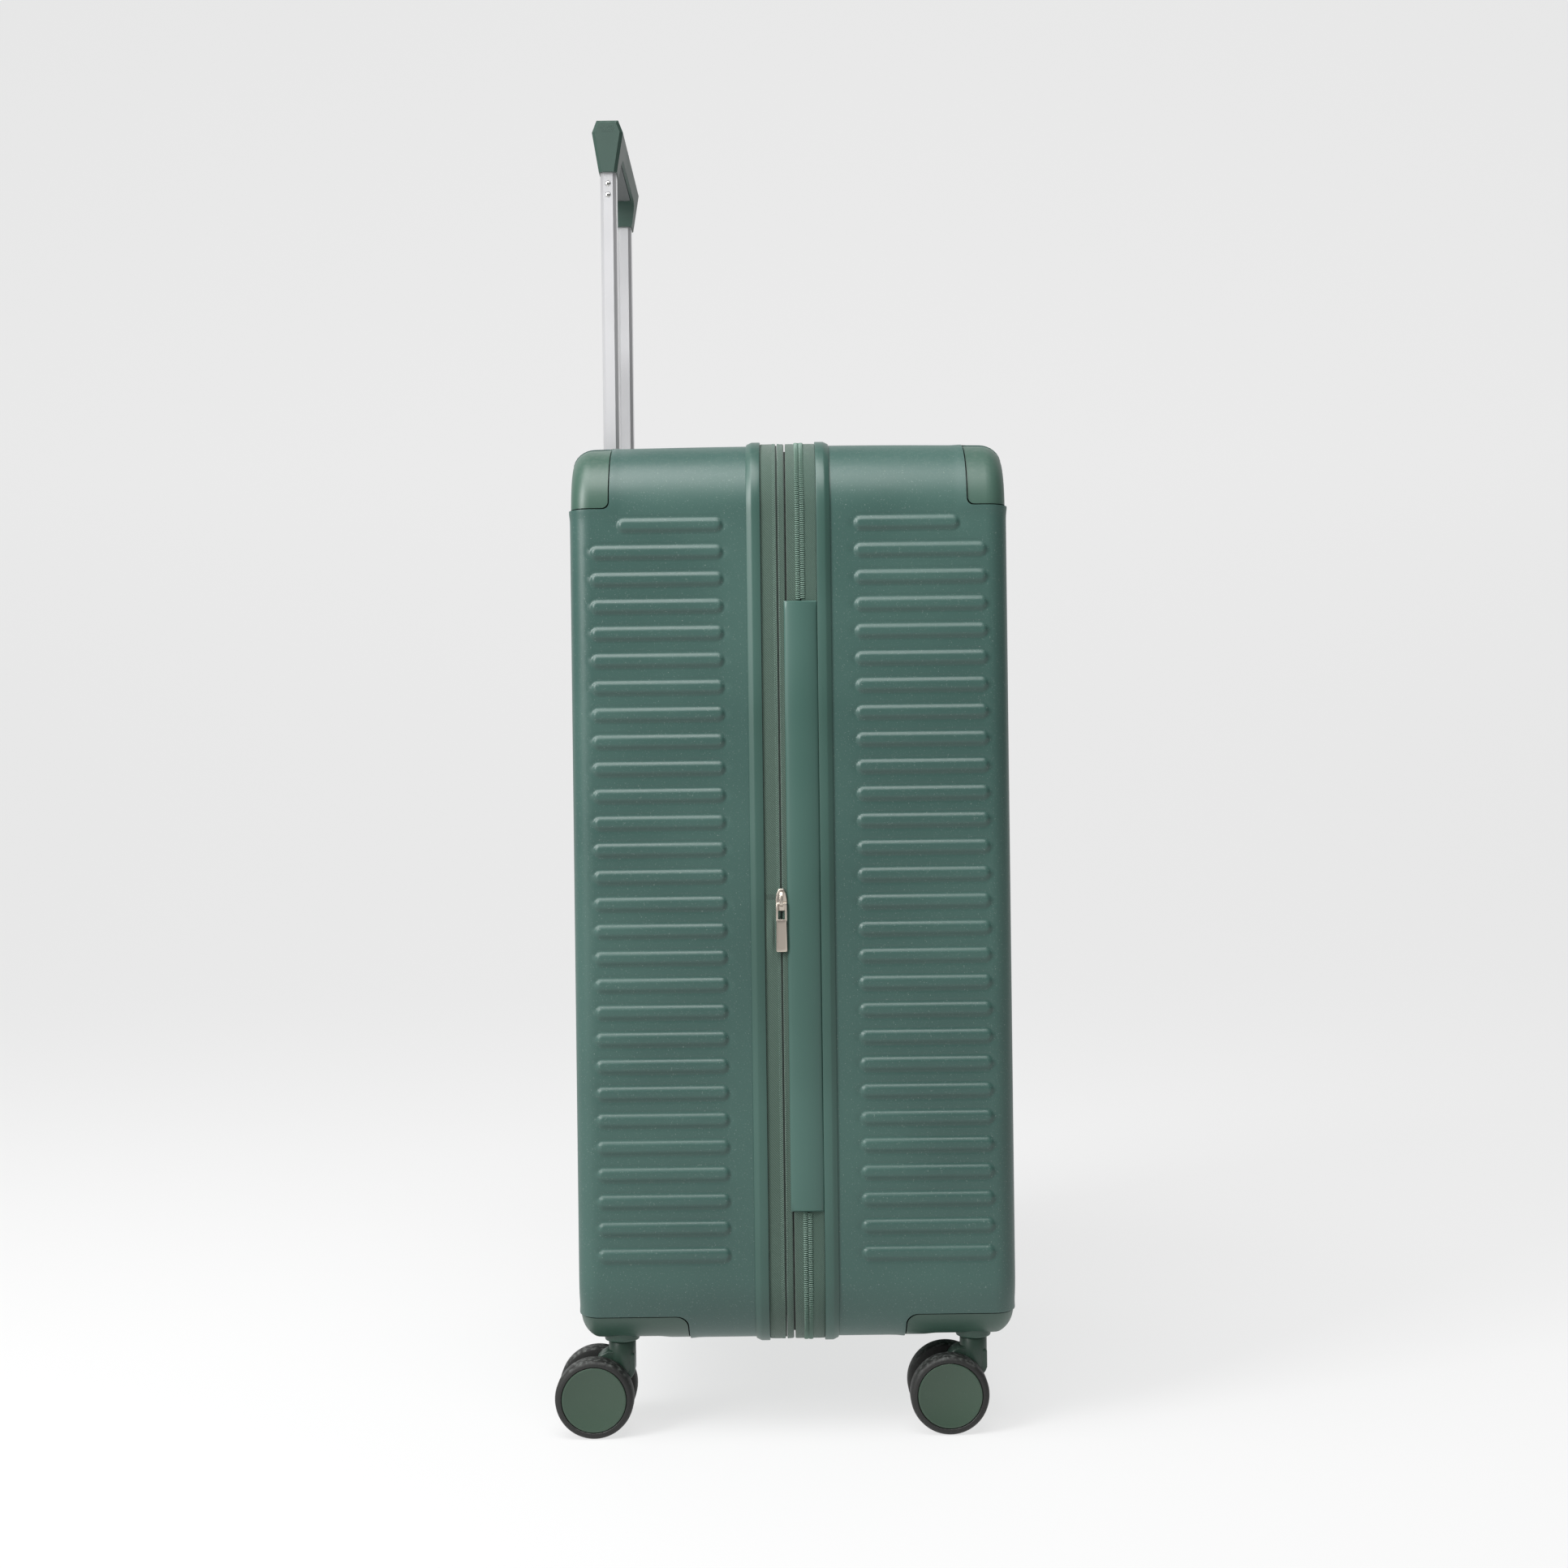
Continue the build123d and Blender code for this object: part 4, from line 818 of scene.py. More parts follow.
@dataclass(frozen=True)
class Rim:
    """Points round the case's outline, with their outward directions and distances along it."""

    form: CaseForm
    cores: np.ndarray
    normals: np.ndarray
    along: np.ndarray
    length: float

    def point(self, x: np.ndarray, out: np.ndarray) -> np.ndarray:
        """Points at x from the middle plane and out from the shells' surface, one for each rim point."""
        yz = self.cores + self.normals * (self.form.corner_r + np.asarray(out, float)[..., None])
        made = np.empty((len(self.cores), 3))
        made[:, 0] = self.form.middle_x + x
        made[:, 1] = yz[:, 0]
        made[:, 2] = yz[:, 1] + self.form.middle_z
        return made

    def at(self, distance: float) -> tuple[np.ndarray, np.ndarray]:
        """The point on the shells' surface at a distance along the rim, and the outward direction there."""
        edge = self.cores + self.normals * self.form.corner_r
        d = distance % self.length
        i = int(np.searchsorted(self.along, d, side="right")) - 1
        j = (i + 1) % len(self.along)
        gap = (self.along[j] if j else self.length) - self.along[i]
        t = (d - self.along[i]) / gap
        yz = edge[i] * (1 - t) + edge[j] * t
        normal = self.normals[i] * (1 - t) + self.normals[j] * t
        normal = normal / np.linalg.norm(normal)
        return (np.array([self.form.middle_x, yz[0], yz[1] + self.form.middle_z]),
                np.array([0.0, normal[0], normal[1]]))

    def sweep(self, name: str, profile: Callable[[np.ndarray, np.ndarray], list[tuple]], sharp: float = 40.0,
              closed: bool = True) -> bpy.types.Object:
        """Carries a profile round the case.

        Args:
            name: The object's name.
            profile: Gives, for the distances along the rim and the directions there, a list of (x, out)
                pairs of numbers or arrays.
            sharp: Edge angle for shading, in degrees.
            closed: True joins the profile's last point to its first.

        Returns:
            The object, with along and across measures on its points.
        """
        stations = profile(self.along, self.normals)
        full = np.zeros(len(self.along))
        columns = [self.point(full + x, full + out) for x, out in stations]
        if closed:
            columns.append(columns[0])
        points = np.stack(columns, 1)
        count = len(stations)
        faces = grid_faces(len(self.along), count + (1 if closed else 0), wrap=True)
        if closed:
            step = count + 1
            faces = [tuple((v // step) * count + (v % step) % count for v in face) for face in faces]
            points = points[:, :count]
        made = build(name, points.reshape(-1, 3), faces, sharp)
        outward(made)
        across = np.array([np.mean(full + x) + np.mean(full + out) for x, out in stations])
        measure(made, np.repeat(self.along, count), np.tile(across, len(self.along)))
        return made


def measure(obj: bpy.types.Object, along: np.ndarray, across: np.ndarray) -> None:
    """Keeps each point's distances along and across the cloth, for the weave."""
    for label, values in (("along", along), ("across", across)):
        attribute = obj.data.attributes.new(label, "FLOAT", "POINT")
        attribute.data.foreach_set("value", np.asarray(values, np.float32))


@dataclass
class Skin:
    """The skin of one half of the case: its side walls, the rounded edge and the big face, as one grid."""

    form: CaseForm
    end: int
    start: float
    inset: float = 0.0
    columns: Sequence[float] = ()
    rows: Sequence[float] = ()
    depths: Sequence[float] = ()
    corner_steps: int = 20
    edge_steps: int = 8

    def lattice(self) -> tuple[np.ndarray, np.ndarray, list, dict]:
        """Places the grid.

        Returns:
            Points, outward directions, faces and the vertex numbers of the open rim.
        """
        f = self.form
        a, b = f.half_width - f.corner_r, f.half_height - f.corner_r
        turn = np.sqrt(2) * np.sin(np.linspace(0, math.pi / 4, self.corner_steps + 1)[1:])
        across = np.array([*(-a - turn[::-1] * f.corner_r), *self.columns, *(a + turn * f.corner_r)])
        up = np.array([*(-b - turn[::-1] * f.corner_r), *self.rows, *(b + turn * f.corner_r)])
        grid_y, grid_z = np.meshgrid(across, up)
        core_y, core_z = np.clip(grid_y, -a, a), np.clip(grid_z, -b, b)
        p, q = (grid_y - core_y) / f.corner_r, (grid_z - core_z) / f.corner_r
        out_y, out_z = p * np.sqrt(np.maximum(1 - q * q / 2, 0)), q * np.sqrt(np.maximum(1 - p * p / 2, 0))
        inner_r = f.corner_r - f.edge_r
        face = np.stack([np.full(grid_y.shape, f.half_depth - self.inset), core_y + out_y * inner_r,
                         core_z + out_z * inner_r], -1)
        rows, cols = grid_y.shape
        loop = ([(i, cols - 1) for i in range(rows - 1)] + [(rows - 1, j) for j in range(cols - 1, 0, -1)]
                + [(i, 0) for i in range(rows - 1, 0, -1)] + [(0, j) for j in range(cols - 1)])
        index = tuple(np.array(loop).T)
        core = np.stack([core_y[index], core_z[index]], -1)
        normal = np.stack([out_y[index], out_z[index]], -1)
        bend = np.linspace(0, math.pi / 2, self.edge_steps + 1)[:-1]
        small = f.edge_r - self.inset
        wall = [(x, f.corner_r - self.inset, 1.0, 0.0) for x in self.depths]
        wall += [(f.half_depth - f.edge_r + small * math.sin(t), inner_r + small * math.cos(t), math.cos(t),
                  math.sin(t)) for t in bend]
        points, normals = [face.reshape(-1, 3)], [np.tile([1.0, 0.0, 0.0], (rows * cols, 1))]
        for x, reach, side, front in wall:
            ring = np.empty((len(loop), 3))
            ring[:, 0], ring[:, 1:] = x, core + normal * reach
            points.append(ring)
            normals.append(np.column_stack([np.full(len(loop), front), normal * side]))
        count, size = len(loop), rows * cols
        faces = [face[::-1] for face in grid_faces(rows, cols)]
        rings = [[size + k * count + i for i in range(count)] for k in range(len(wall))]
        rings.append([i * cols + j for i, j in loop])
        for low, high in zip(rings, rings[1:]):
            faces += [(low[i], low[(i + 1) % count], high[(i + 1) % count], high[i]) for i in range(count)]
        return np.concatenate(points), np.concatenate(normals), faces, {"rim": rings[0]}

    def surface(self, relief: Optional[Callable[["Skin", np.ndarray, np.ndarray], np.ndarray]] = None
                ) -> tuple[np.ndarray, list, dict]:
        """The grid in the row frame, raised by a relief along its outward directions."""
        points, normals, faces, marks = self.lattice()
        f = self.form
        deep = (points[:, 0] - self.start) / (f.half_depth - self.start)
        sink = f.crown * np.clip(normals[:, 2], 0, 1) ** 2 * np.clip(deep, 0, 1) ** 2
        raised = -sink if relief is None else relief(self, points, normals) - sink
        points = points + normals * raised[:, None]
        points[:, 0] = f.middle_x + self.end * points[:, 0]
        points[:, 2] += f.middle_z
        if self.end < 0:
            return points, [tuple(face)[::-1] for face in faces], marks
        return points, faces, marks

    def solid(self, name: str) -> bpy.types.Object:
        """The half as one closed block, capped at its start."""
        points, faces, marks = self.surface()
        made = build(name, points, [*faces, tuple(marks["rim"])])
        outward(made)
        return made


def plain_form(form: CaseForm, end: int, inset: float, start: float, name: str,
               fine: float = 8.0) -> bpy.types.Object:
    """One half of the case as a closed block, taken in by inset from its outside."""
    a, b = form.half_width - form.corner_r, form.half_height - form.corner_r
    return Skin(form, end, start, inset, spread(-a, a, step=3 * fine), spread(-b, b, step=3 * fine),
                spread(start, form.half_depth - form.edge_r - 0.5, step=fine)).solid(name)


@dataclass(frozen=True)
class Corner:
    """The space of a cover over one corner of the case, in distances from the outside."""

    depth: float
    width: float
    height: float
    radius: float
    up: int

    def block(self, form: CaseForm, end: int, side: int, grow: float = 0.0) -> bpy.types.Object:
        """The space as a closed box, grown inwards."""
        beyond = 20.0
        xs = sorted((form.x(end, form.half_depth - self.depth - grow), form.x(end, form.half_depth + beyond)))
        ys = sorted((side * (form.half_width - self.width - grow), side * (form.half_width + beyond)))
        edge = form.middle_z + self.up * form.half_height
        zs = sorted((edge - self.up * (self.height + grow), edge + self.up * beyond))
        return block("space", (xs[0], ys[0], zs[0]), (xs[1], ys[1], zs[1]), self.radius)

    def distance(self, form: CaseForm, points: np.ndarray) -> np.ndarray:
        """How far points of a lattice lie outside the space, negative inside."""
        x = form.half_depth - self.depth - points[:, 0]
        y = form.half_width - self.width - np.abs(points[:, 1])
        z = form.half_height - self.height - self.up * points[:, 2]
        outside = np.linalg.norm(np.maximum(np.column_stack([x, y, z]), 0), axis=1)
        return outside + np.minimum(np.maximum.reduce([x, y, z]), 0)


GUARD = Corner(31.0, 54.0, 54.0, 5.0, 1)
HOUSING = Corner(83.0, 85.0, 26.5, 9.0, -1)


# --------------------------------------------------------------------------- shells
@dataclass(frozen=True)
class Ribs:
    """The pressed ribs of the shells."""

    pitch: float = 20.27
    count: int = 28
    first: float = 74.2
    width: float = 9.5
    proud: float = 1.9
    crease: float = 0.4
    to_edge: float = 16.5
    near: float = 49.5
    face_margin: float = 42.0

    def height(self, distance: np.ndarray) -> np.ndarray:
        """Height of the pressed surface, from the distance outside a rib's outline."""
        soft = self.proud * smoothstep((0.7 - distance) / 3.0)
        return soft - self.crease * np.exp(-((distance - 0.9) / 0.8) ** 2)

    def rib(self, form: CaseForm, z: np.ndarray) -> np.ndarray:
        """The nearest rib's height, for heights measured from the case's middle."""
        start = -form.half_height + self.first
        number = np.clip(np.round((z - start) / self.pitch), 0, self.count - 1)
        return start + number * self.pitch


@dataclass
class Shell:
    """One moulded half: its ribbed skin, with room for the covers and fittings."""

    form: CaseForm
    end: int
    ribs: Ribs = Ribs()
    wall: float = 2.0
    rim_start: float = 24.6
    rib_samples: int = 14
    carry_half: float = 108.0
    lock_half: float = 54.0
    lock_near: float = 78.0
    bezel_front: float = 42.0
    bezel_half_width: float = 101.0
    bezel_height: float = 50.0
    shoulder: float = 0.7
    shoulder_reach: float = 5.0

    def relief(self, skin: Skin, points: np.ndarray, normals: np.ndarray) -> np.ndarray:
        """How far the skin stands out at each lattice point.

        Args:
            skin: The skin.
            points: Lattice points: depth from the middle plane, Y, and height from the case's middle.
            normals: Outward directions.

        Returns:
            Distances along the outward directions.
        """
        f, r, end = self.form, self.ribs, self.end
        rib_z = r.rib(f, points[:, 2])
        radius = r.width / 2
        near = np.full(len(points), r.near)
        far = np.where(rib_z > f.half_height - GUARD.height - 12 - r.width, f.half_depth - GUARD.depth - 6,
                       f.half_depth - r.to_edge)
        side = points[:, 1] > 0
        if end < 0:
            near = np.where(side & (np.abs(rib_z) < self.carry_half), 1e4, near)
        else:
            near = np.where(side & (np.abs(rib_z) < self.lock_half), self.lock_near, near)
        middle = np.clip(points[:, 0], near + radius, np.maximum(far - radius, near + radius))
        on_side = np.hypot(points[:, 0] - middle, points[:, 2] - rib_z) - radius
        reach = f.half_width - r.face_margin - radius
        middle = np.clip(points[:, 1], -reach, reach)
        on_face = np.hypot(points[:, 1] - middle, points[:, 2] - rib_z) - radius
        if end < 0:
            on_face = np.where(rib_z > f.half_height - self.bezel_height - 12, 1e4, on_face)
        raised = np.where(np.abs(normals[:, 1]) > 0.98, r.height(on_side), 0.0)
        raised = np.where(normals[:, 0] > 0.98, r.height(on_face), raised)
        for space in (GUARD, HOUSING):
            away = np.maximum(space.distance(f, points), 0)
            raised += self.shoulder * np.exp(-(away / self.shoulder_reach) ** 2)
        return raised

    def make(self, shop: Workshop) -> None:
        """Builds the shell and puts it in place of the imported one."""
        f, end = self.form, self.end
        a, b = f.half_width - f.corner_r, f.half_height - f.corner_r
        pitch = self.ribs.pitch
        start = -f.half_height + self.ribs.first - pitch / 2
        last = start + self.ribs.count * pitch
        rows = spread(-b, start, last, b, step=pitch / self.rib_samples)
        wall_end = f.half_depth - f.edge_r
        depths = spread(self.rim_start, 33.0, 47.5, step=5.0)[:-1]
        for low, high in ((47.5, 56.0), (76.0, 85.0), (118.0, 129.5), (138.0, wall_end)):
            depths += spread(low, high, step=1.2)
            depths += [high + 6.0, high + 14.0] if high < 60 else []
        depths += [92.0, 100.0, 109.0]
        skin = Skin(f, end, self.rim_start, 0.0, spread(-a, a, step=30.0), rows,
                    sorted(set(d for d in depths if d < wall_end - 0.3)), corner_steps=30)
        points, faces, _ = skin.surface(self.relief)
        name = f"{END_NAMES[end]}_shell_skin"
        made = build(name, points, faces)
        solid = made.modifiers.new("wall", "SOLIDIFY")
        solid.thickness, solid.offset = self.wall * MM, -1
        settle(made)
        tools = [c.block(f, end, s) for c in (GUARD, HOUSING) for s in SIDES]
        if end < 0:
            tools.append(block("bezel_space", (f.x(-1, f.half_depth + 20), -self.bezel_half_width,
                                               f.top - self.bezel_height),
                               (f.x(-1, f.half_depth - self.bezel_front), self.bezel_half_width, f.top + 20)))
            for node in ("top", "side"):
                low, high = fitting_hole(f, node)
                tools.append(block("cup_space", low, high, 4.0))
        else:
            low, high = (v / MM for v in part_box("lock_housing"))
            flange = 3.0
            tools.append(block("lock_space", (low.x + flange, high.y - 12, low.z + flange),
                               (high.x - flange, high.y + 12, high.z - flange), 4.0))
        combine(made, tools, Cut.AWAY)
        shop.mount(made, "case" if end < 0 else "lid", "shell", f"{END_NAMES[end]}_shell")


def fitting_hole(form: CaseForm, which: str) -> tuple[tuple, tuple]:
    """The opening for one carry handle's cup: its lowest and highest corner."""
    x, half_x, half_y, depth = form.x(-1, 73.0), 20.1, 93.1, 10.0
    if which == "top":
        return (x - half_x, -half_y, form.top - depth), (x + half_x, half_y, form.top + depth)
    return ((x - half_x, form.half_width - depth, form.middle_z - half_y),
            (x + half_x, form.half_width + depth, form.middle_z + half_y))


@dataclass
class CornerGuards:
    """The two plastic guards over a shell's top corners."""

    form: CaseForm
    end: int
    thickness: float = 2.5
    gap: float = 1.0
    drop: float = 0.9

    def make(self, shop: Workshop) -> None:
        """Builds both guards of one shell."""
        f = self.form
        made = []
        for side in SIDES:
            guard = GUARD.block(f, self.end, side, -self.gap)
            combine(guard, [plain_form(f, self.end, self.drop, 40.0, "outer", 2.5)], Cut.COMMON)
            combine(guard, [plain_form(f, self.end, self.drop + self.thickness, 38.0, "inner", 4.0)], Cut.AWAY)
            made.append(guard)
        guards = joined(f"{END_NAMES[self.end]}_guards", made)
        shop.mount(guards, "case" if self.end < 0 else "lid", "guard", f"{END_NAMES[self.end]}_corner_guards")


@dataclass
class WheelHousings:
    """The two housings under a shell, each with a dished underside and the caster's boss."""

    form: CaseForm
    end: int
    thickness: float = 9.0
    gap: float = 1.0
    drop: float = 0.3
    corner_round: float = 27.0
    dish_r: float = 44.0
    dish_depth: float = 5.5
    boss_r: float = 13.4
    boss_end: float = 1.3
    stem_x: float = 135.0
    stem_y: float = 210.0
    stem_r: float = 5.05

    def dish(self, x: float, y: float) -> bpy.types.Object:
        """The cutter of the hollow round a caster: deepest at the boss, running out in a soft curve."""
        low = self.form.bottom
        outline = [(0.0, low - 10.0)]
        outline += [(self.dish_r + 4.0, low - 10.0), (self.dish_r + 4.0, low - 0.2)]
        for i in range(13):
            t = i / 12
            rise = float(smoothstep(np.array(t)))
            outline.append((self.dish_r + 3.0 - 17.0 * t, low + self.dish_depth * rise))
        outline.append((0.0, low + self.dish_depth))
        return revolved("dish", outline, Axes((x, y, 0.0)), 96)

    def underside(self) -> bpy.types.Object:
        """The form that both housings are trimmed to, with a wide round edge under the big face."""
        f, r = self.form, self.corner_round
        low, outer = f.bottom + self.drop, f.half_depth - self.drop
        outline = [(f.half_depth - 120, low + 60), (f.half_depth - 120, low)]
        outline += [(outer - r + r * math.sin(t), low + r - r * math.cos(t))
                    for t in np.linspace(0, math.pi / 2, 15)]
        outline.append((outer, low + 60))
        return plate("underside", [(f.x(self.end, x), z) for x, z in outline], -f.half_width - 10,
                     f.half_width + 10, Axes((0, 0, 0), (1, 0, 0), (0, 0, 1), (0, -1, 0)))

    def boss(self, x: float, y: float) -> bpy.types.Object:
        """The round boss with a softened lower edge and the stem's bore."""
        low, r = self.form.bottom + self.boss_end, self.boss_r
        outline = [(self.stem_r, low + 0.6), (self.stem_r + 0.6, low), (r - 1.2, low), (r - 0.35, low + 0.35),
                   (r, low + 1.2), (r, low + 24.7), (self.stem_r, low + 24.7)]
        return revolved("boss", outline, Axes((x, y, 0.0)), 64, closed=True)

    def make(self, shop: Workshop) -> None:
        """Builds both housings of one shell."""
        f, end = self.form, self.end
        made = []
        for side in SIDES:
            housing = HOUSING.block(f, end, side, -self.gap)
            combine(housing, [plain_form(f, end, self.drop, 40.0, "outer", 4.0)], Cut.COMMON)
            combine(housing, [self.underside()], Cut.COMMON)
            combine(housing, [plain_form(f, end, self.thickness, 38.0, "inner", 6.0)], Cut.AWAY)
            x, y = f.x(end, self.stem_x), side * self.stem_y
            combine(housing, [self.dish(x, y)], Cut.AWAY)
            bore_r, low, high = self.boss_r - 0.3, f.bottom - 5, f.bottom + 40
            bore = revolved("bore", [(0, low), (bore_r, low), (bore_r, high), (0, high)], Axes((x, y, 0.0)), 64)
            combine(housing, [bore], Cut.AWAY)
            made += [housing, self.boss(x, y)]
        housings = joined(f"{END_NAMES[end]}_housings", made)
        shop.mount(housings, "case" if end < 0 else "lid", "housing", f"{END_NAMES[end]}_wheel_housings")


# --------------------------------------------------------------------------- rails, tapes and zips
@dataclass
class RimRail:
    """The bevelled channel that grips one shell's rim."""

    rim: Rim
    end: int
    start: float = 21.0
    width: float = 10.5
    proud: float = 3.0
    bevel_width: float = 4.0
    bevel_proud: float = 1.8
    groove: float = 7.0

    def make(self, shop: Workshop) -> None:
        """Builds the rail."""
        out = self.start + self.width
        flat = out - self.bevel_width
        outline = [(self.start, -4.4), (self.start, self.proud - 0.5), (self.start + 0.15, self.proud - 0.15),
                   (self.start + 0.5, self.proud), (flat - 0.6, self.proud), (flat, self.proud - 0.06),
                   (flat + 0.6, self.proud - 0.32), (out - 0.7, self.proud - self.bevel_proud + 0.2),
                   (out - 0.2, self.proud - self.bevel_proud - 0.15), (out, self.proud - self.bevel_proud - 0.5),
                   (out, 0.1), (out - self.groove - 0.1, 0.1), (out - self.groove - 0.1, -2.1), (out, -2.1),
                   (out, -4.4)]
        profile = [(self.end * x, y) for x, y in outline]
        made = self.rim.sweep(f"{END_NAMES[self.end]}_rim_rail", lambda along, normals: profile, 24.0)
        shop.mount(made, "case" if self.end < 0 else "lid", "rail", f"{END_NAMES[self.end]}_rail")


@dataclass
class Tapes:
    """The textile band between the rails: zip tapes, the web between the two zips, and the gusset."""

    form: CaseForm
    rim: Rim
    half: float = 21.0
    slit: float = 1.2
    expansion_x: float = -8.5
    main_x: float = 8.5
    groove_x: float = -2.2
    proud: float = 1.5
    thickness: float = 2.0
    sag_z: float = 385.0
    pitch: float = 1.6

    def swell(self, along: np.ndarray, normals: np.ndarray, amount: float) -> np.ndarray:
        """Slow waves in the cloth, and its fullness round the corners."""
        waves = np.sin(along / 31.0) * 0.5 + np.sin(along / 13.7 + 1.3) * 0.3 + np.sin(along / 71.0 + 0.4) * 0.6
        turn = np.abs(normals[:, 0] * normals[:, 1]) * 2
        return amount * (waves * 0.35 + 1.1 * turn)

    def fold(self, normals: np.ndarray) -> np.ndarray:
        """How strongly the cloth bulges below the expansion slider, for each rim point."""
        z = self.rim.cores[:, 1] + normals[:, 1] * self.form.corner_r + self.form.middle_z
        left = normals[:, 0] < -0.99
        return np.where(left, np.exp(-((z - self.sag_z) / 17.0) ** 2), 0.0)

    def tape(self, name: str, low: float, high: float, lip_low: float, lip_high: float) -> bpy.types.Object:
        """One tape from low to high, with a rolled edge at each side and a soft crown."""
        def profile(along: np.ndarray, normals: np.ndarray) -> list[tuple]:
            """The tape's section at each rim point."""
            wave = self.swell(along, normals, 0.35)
            fold = self.fold(normals) * (1.0 if low < 0 else 0.0)
            top, base = self.proud, self.proud - self.thickness
            middle = (low + high) / 2
            span = high - low
            shift = np.sin(along / 5.3) * 0.05
            stations: list[tuple] = [(low + 0.05, base), (low, top - 0.7 + lip_low),
                                     (low + 0.25, top - 0.1 + lip_low)]
            for i in range(1, 10):
                t = i / 10
                bow = math.sin(math.pi * t)
                crease = -0.5 * math.exp(-((t - 0.62) / 0.06) ** 2)
                stations.append((low + span * t + shift * bow,
                                 top + wave * bow + fold * (1.3 * bow + 2.2 * crease) + lip_low * (1 - t) ** 6
                                 + lip_high * t ** 6))
            stations += [(high - 0.25, top - 0.1 + lip_high), (high, top - 0.7 + lip_high), (high - 0.05, base),
                         (middle, base)]
            return stations
        return self.rim.sweep(name, profile, 50.0)

    def teeth(self, name: str, x: float, hand: int,
              skip: Callable[[float, np.ndarray], bool]) -> bpy.types.Object:
        """One row of the coil: a short rounded loop for each tooth."""
        points, faces = coil_tooth(3.6, 0.62, 0.85)
        places = []
        count = int(self.rim.length / self.pitch)
        for i in range(count):
            distance = (i + (0.5 if hand > 0 else 0.0)) * self.rim.length / count
            origin, out = self.rim.at(distance)
            if skip(distance, origin):
                continue
            forward = np.cross(out, [1.0, 0.0, 0.0])
            base = origin + out * (self.proud + 0.1) + np.array([x + hand * 1.75, 0.0, 0.0])
            places.append(np.array([base, [hand * 1.0, 0.0, 0.0], forward, out]))
        return repeated(name, (points, faces), places, 60.0)

    def stitches(self, name: str, columns: Sequence[float], body_pitch: float) -> bpy.types.Object:
        """Columns of small stitch loops beside the expansion slit."""
        points, faces = coil_tooth(1.1, 0.28, 0.3)
        places = []
        count = int(self.rim.length / body_pitch)
        for k, x in enumerate(columns):
            for i in range(count):
                origin, out = self.rim.at((i + 0.5 * (k % 2)) * self.rim.length / count)
                forward = np.cross(out, [1.0, 0.0, 0.0])
                base = origin + out * (self.proud + 0.02) + np.array([x, 0.0, 0.0])
                places.append(np.array([base, forward * 0.35 + [0.94, 0, 0], forward, out]))
        return repeated(name, (points, faces), places, 60.0)

    def covered(self, distance: float, origin: np.ndarray) -> bool:
        """True where the hinge strip covers the main zip."""
        low, high = (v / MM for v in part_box("hinge_strip"))
        return origin[1] < 0 and low.z - 1 < origin[2] < high.z + 1

    def slit_back(self, name: str, low: float, high: float) -> bpy.types.Object:
        """The dark cord and tape edge seen down in a slit."""
        outline = [(low, -0.1), (low, 0.35), (high, 0.35), (high, -0.1)]
        return self.rim.sweep(name, lambda along, normals: outline, 30.0)

    def gusset(self) -> bpy.types.Object:
        """The folded cloth under the expansion zip, as one thin pleated sheet."""
        def profile(along: np.ndarray, normals: np.ndarray) -> list[tuple]:
            """The pleat's section at each rim point."""
            wave = np.sin(along / 23.0) * 0.4
            outer = [(-20.9, -4.1), (-14.0, -4.3), (-10.4, -4.6), (-9.9, -9.0), (-9.4, -14.5), (-8.5, -15.8),
                     (-7.6, -14.5), (-7.1, -9.0), (-6.6, -4.6), (-2.0, -4.3), (1.6, -4.1), (2.2, -0.7)]
            section = [(x + wave * (0.4 if out < -8 else 0.0), out) for x, out in outer]
            inner = [(x - (0.5 if x < -8.5 else -0.5) * (out < -4.2), out - 0.6) for x, out in outer[::-1]]
            return section + inner
        return self.rim.sweep("expansion_gusset_cloth", profile, 60.0)

    def make(self, shop: Workshop) -> None:
        """Builds the tapes, the coil, the stitches and the gusset."""
        half_slit = self.slit / 2
        back = self.tape("expansion_tape", -self.half + 0.05, self.expansion_x - half_slit, 0.0, 0.25)
        shop.mount(back, "case", "tape", "expansion_zip_tape", finish=FINISH.band)
        web = self.tape("expander_web", self.expansion_x + half_slit, self.groove_x - 0.5, 0.25, -0.2)
        inner = self.tape("main_tape_back", self.groove_x + 0.5, self.main_x - half_slit, 0.1, -0.2)
        band = joined("expander_band_cloth", [web, inner], 50.0)
        shop.mount(band, "expander", "tape", "expander_band", finish=FINISH.band)
        lid = self.tape("lid_tape", self.main_x + half_slit, self.half - 0.05, -0.2, 0.0)
        shop.mount(lid, "lid", "tape", "lid_zip_tape", finish=FINISH.tape)
        for hand, body in ((-1, "expander"), (1, "lid")):
            coil = self.teeth(f"main_coil_{END_NAMES[hand]}", self.main_x, hand, self.covered)
            shop.mount(coil, body, "tape", finish=FINISH.coil)
        edge = self.expansion_x - half_slit
        cord = self.slit_back("expansion_coil_core", edge - 0.3, self.expansion_x + 0.4)
        shop.mount(cord, "case", "tape", finish=FINISH.strap)
        left = self.stitches("expansion_stitches_back", (edge - 0.9, edge - 2.1), self.pitch)
        shop.mount(left, "case", "tape", finish=FINISH.coil)
        right = self.stitches("expansion_stitches_front", (self.expansion_x + half_slit + 0.8,), self.pitch)
        shop.mount(right, "expander", "tape", finish=FINISH.coil)
        cloth = self.gusset()
        shop.paint(cloth, FINISH.lining)
        shop.note(cloth, "tape", "expansion_gusset")
        f = self.form
        f.x(-1, 19.0) * MM
        f.x(1, 1.0) * MM
        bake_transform(cloth)


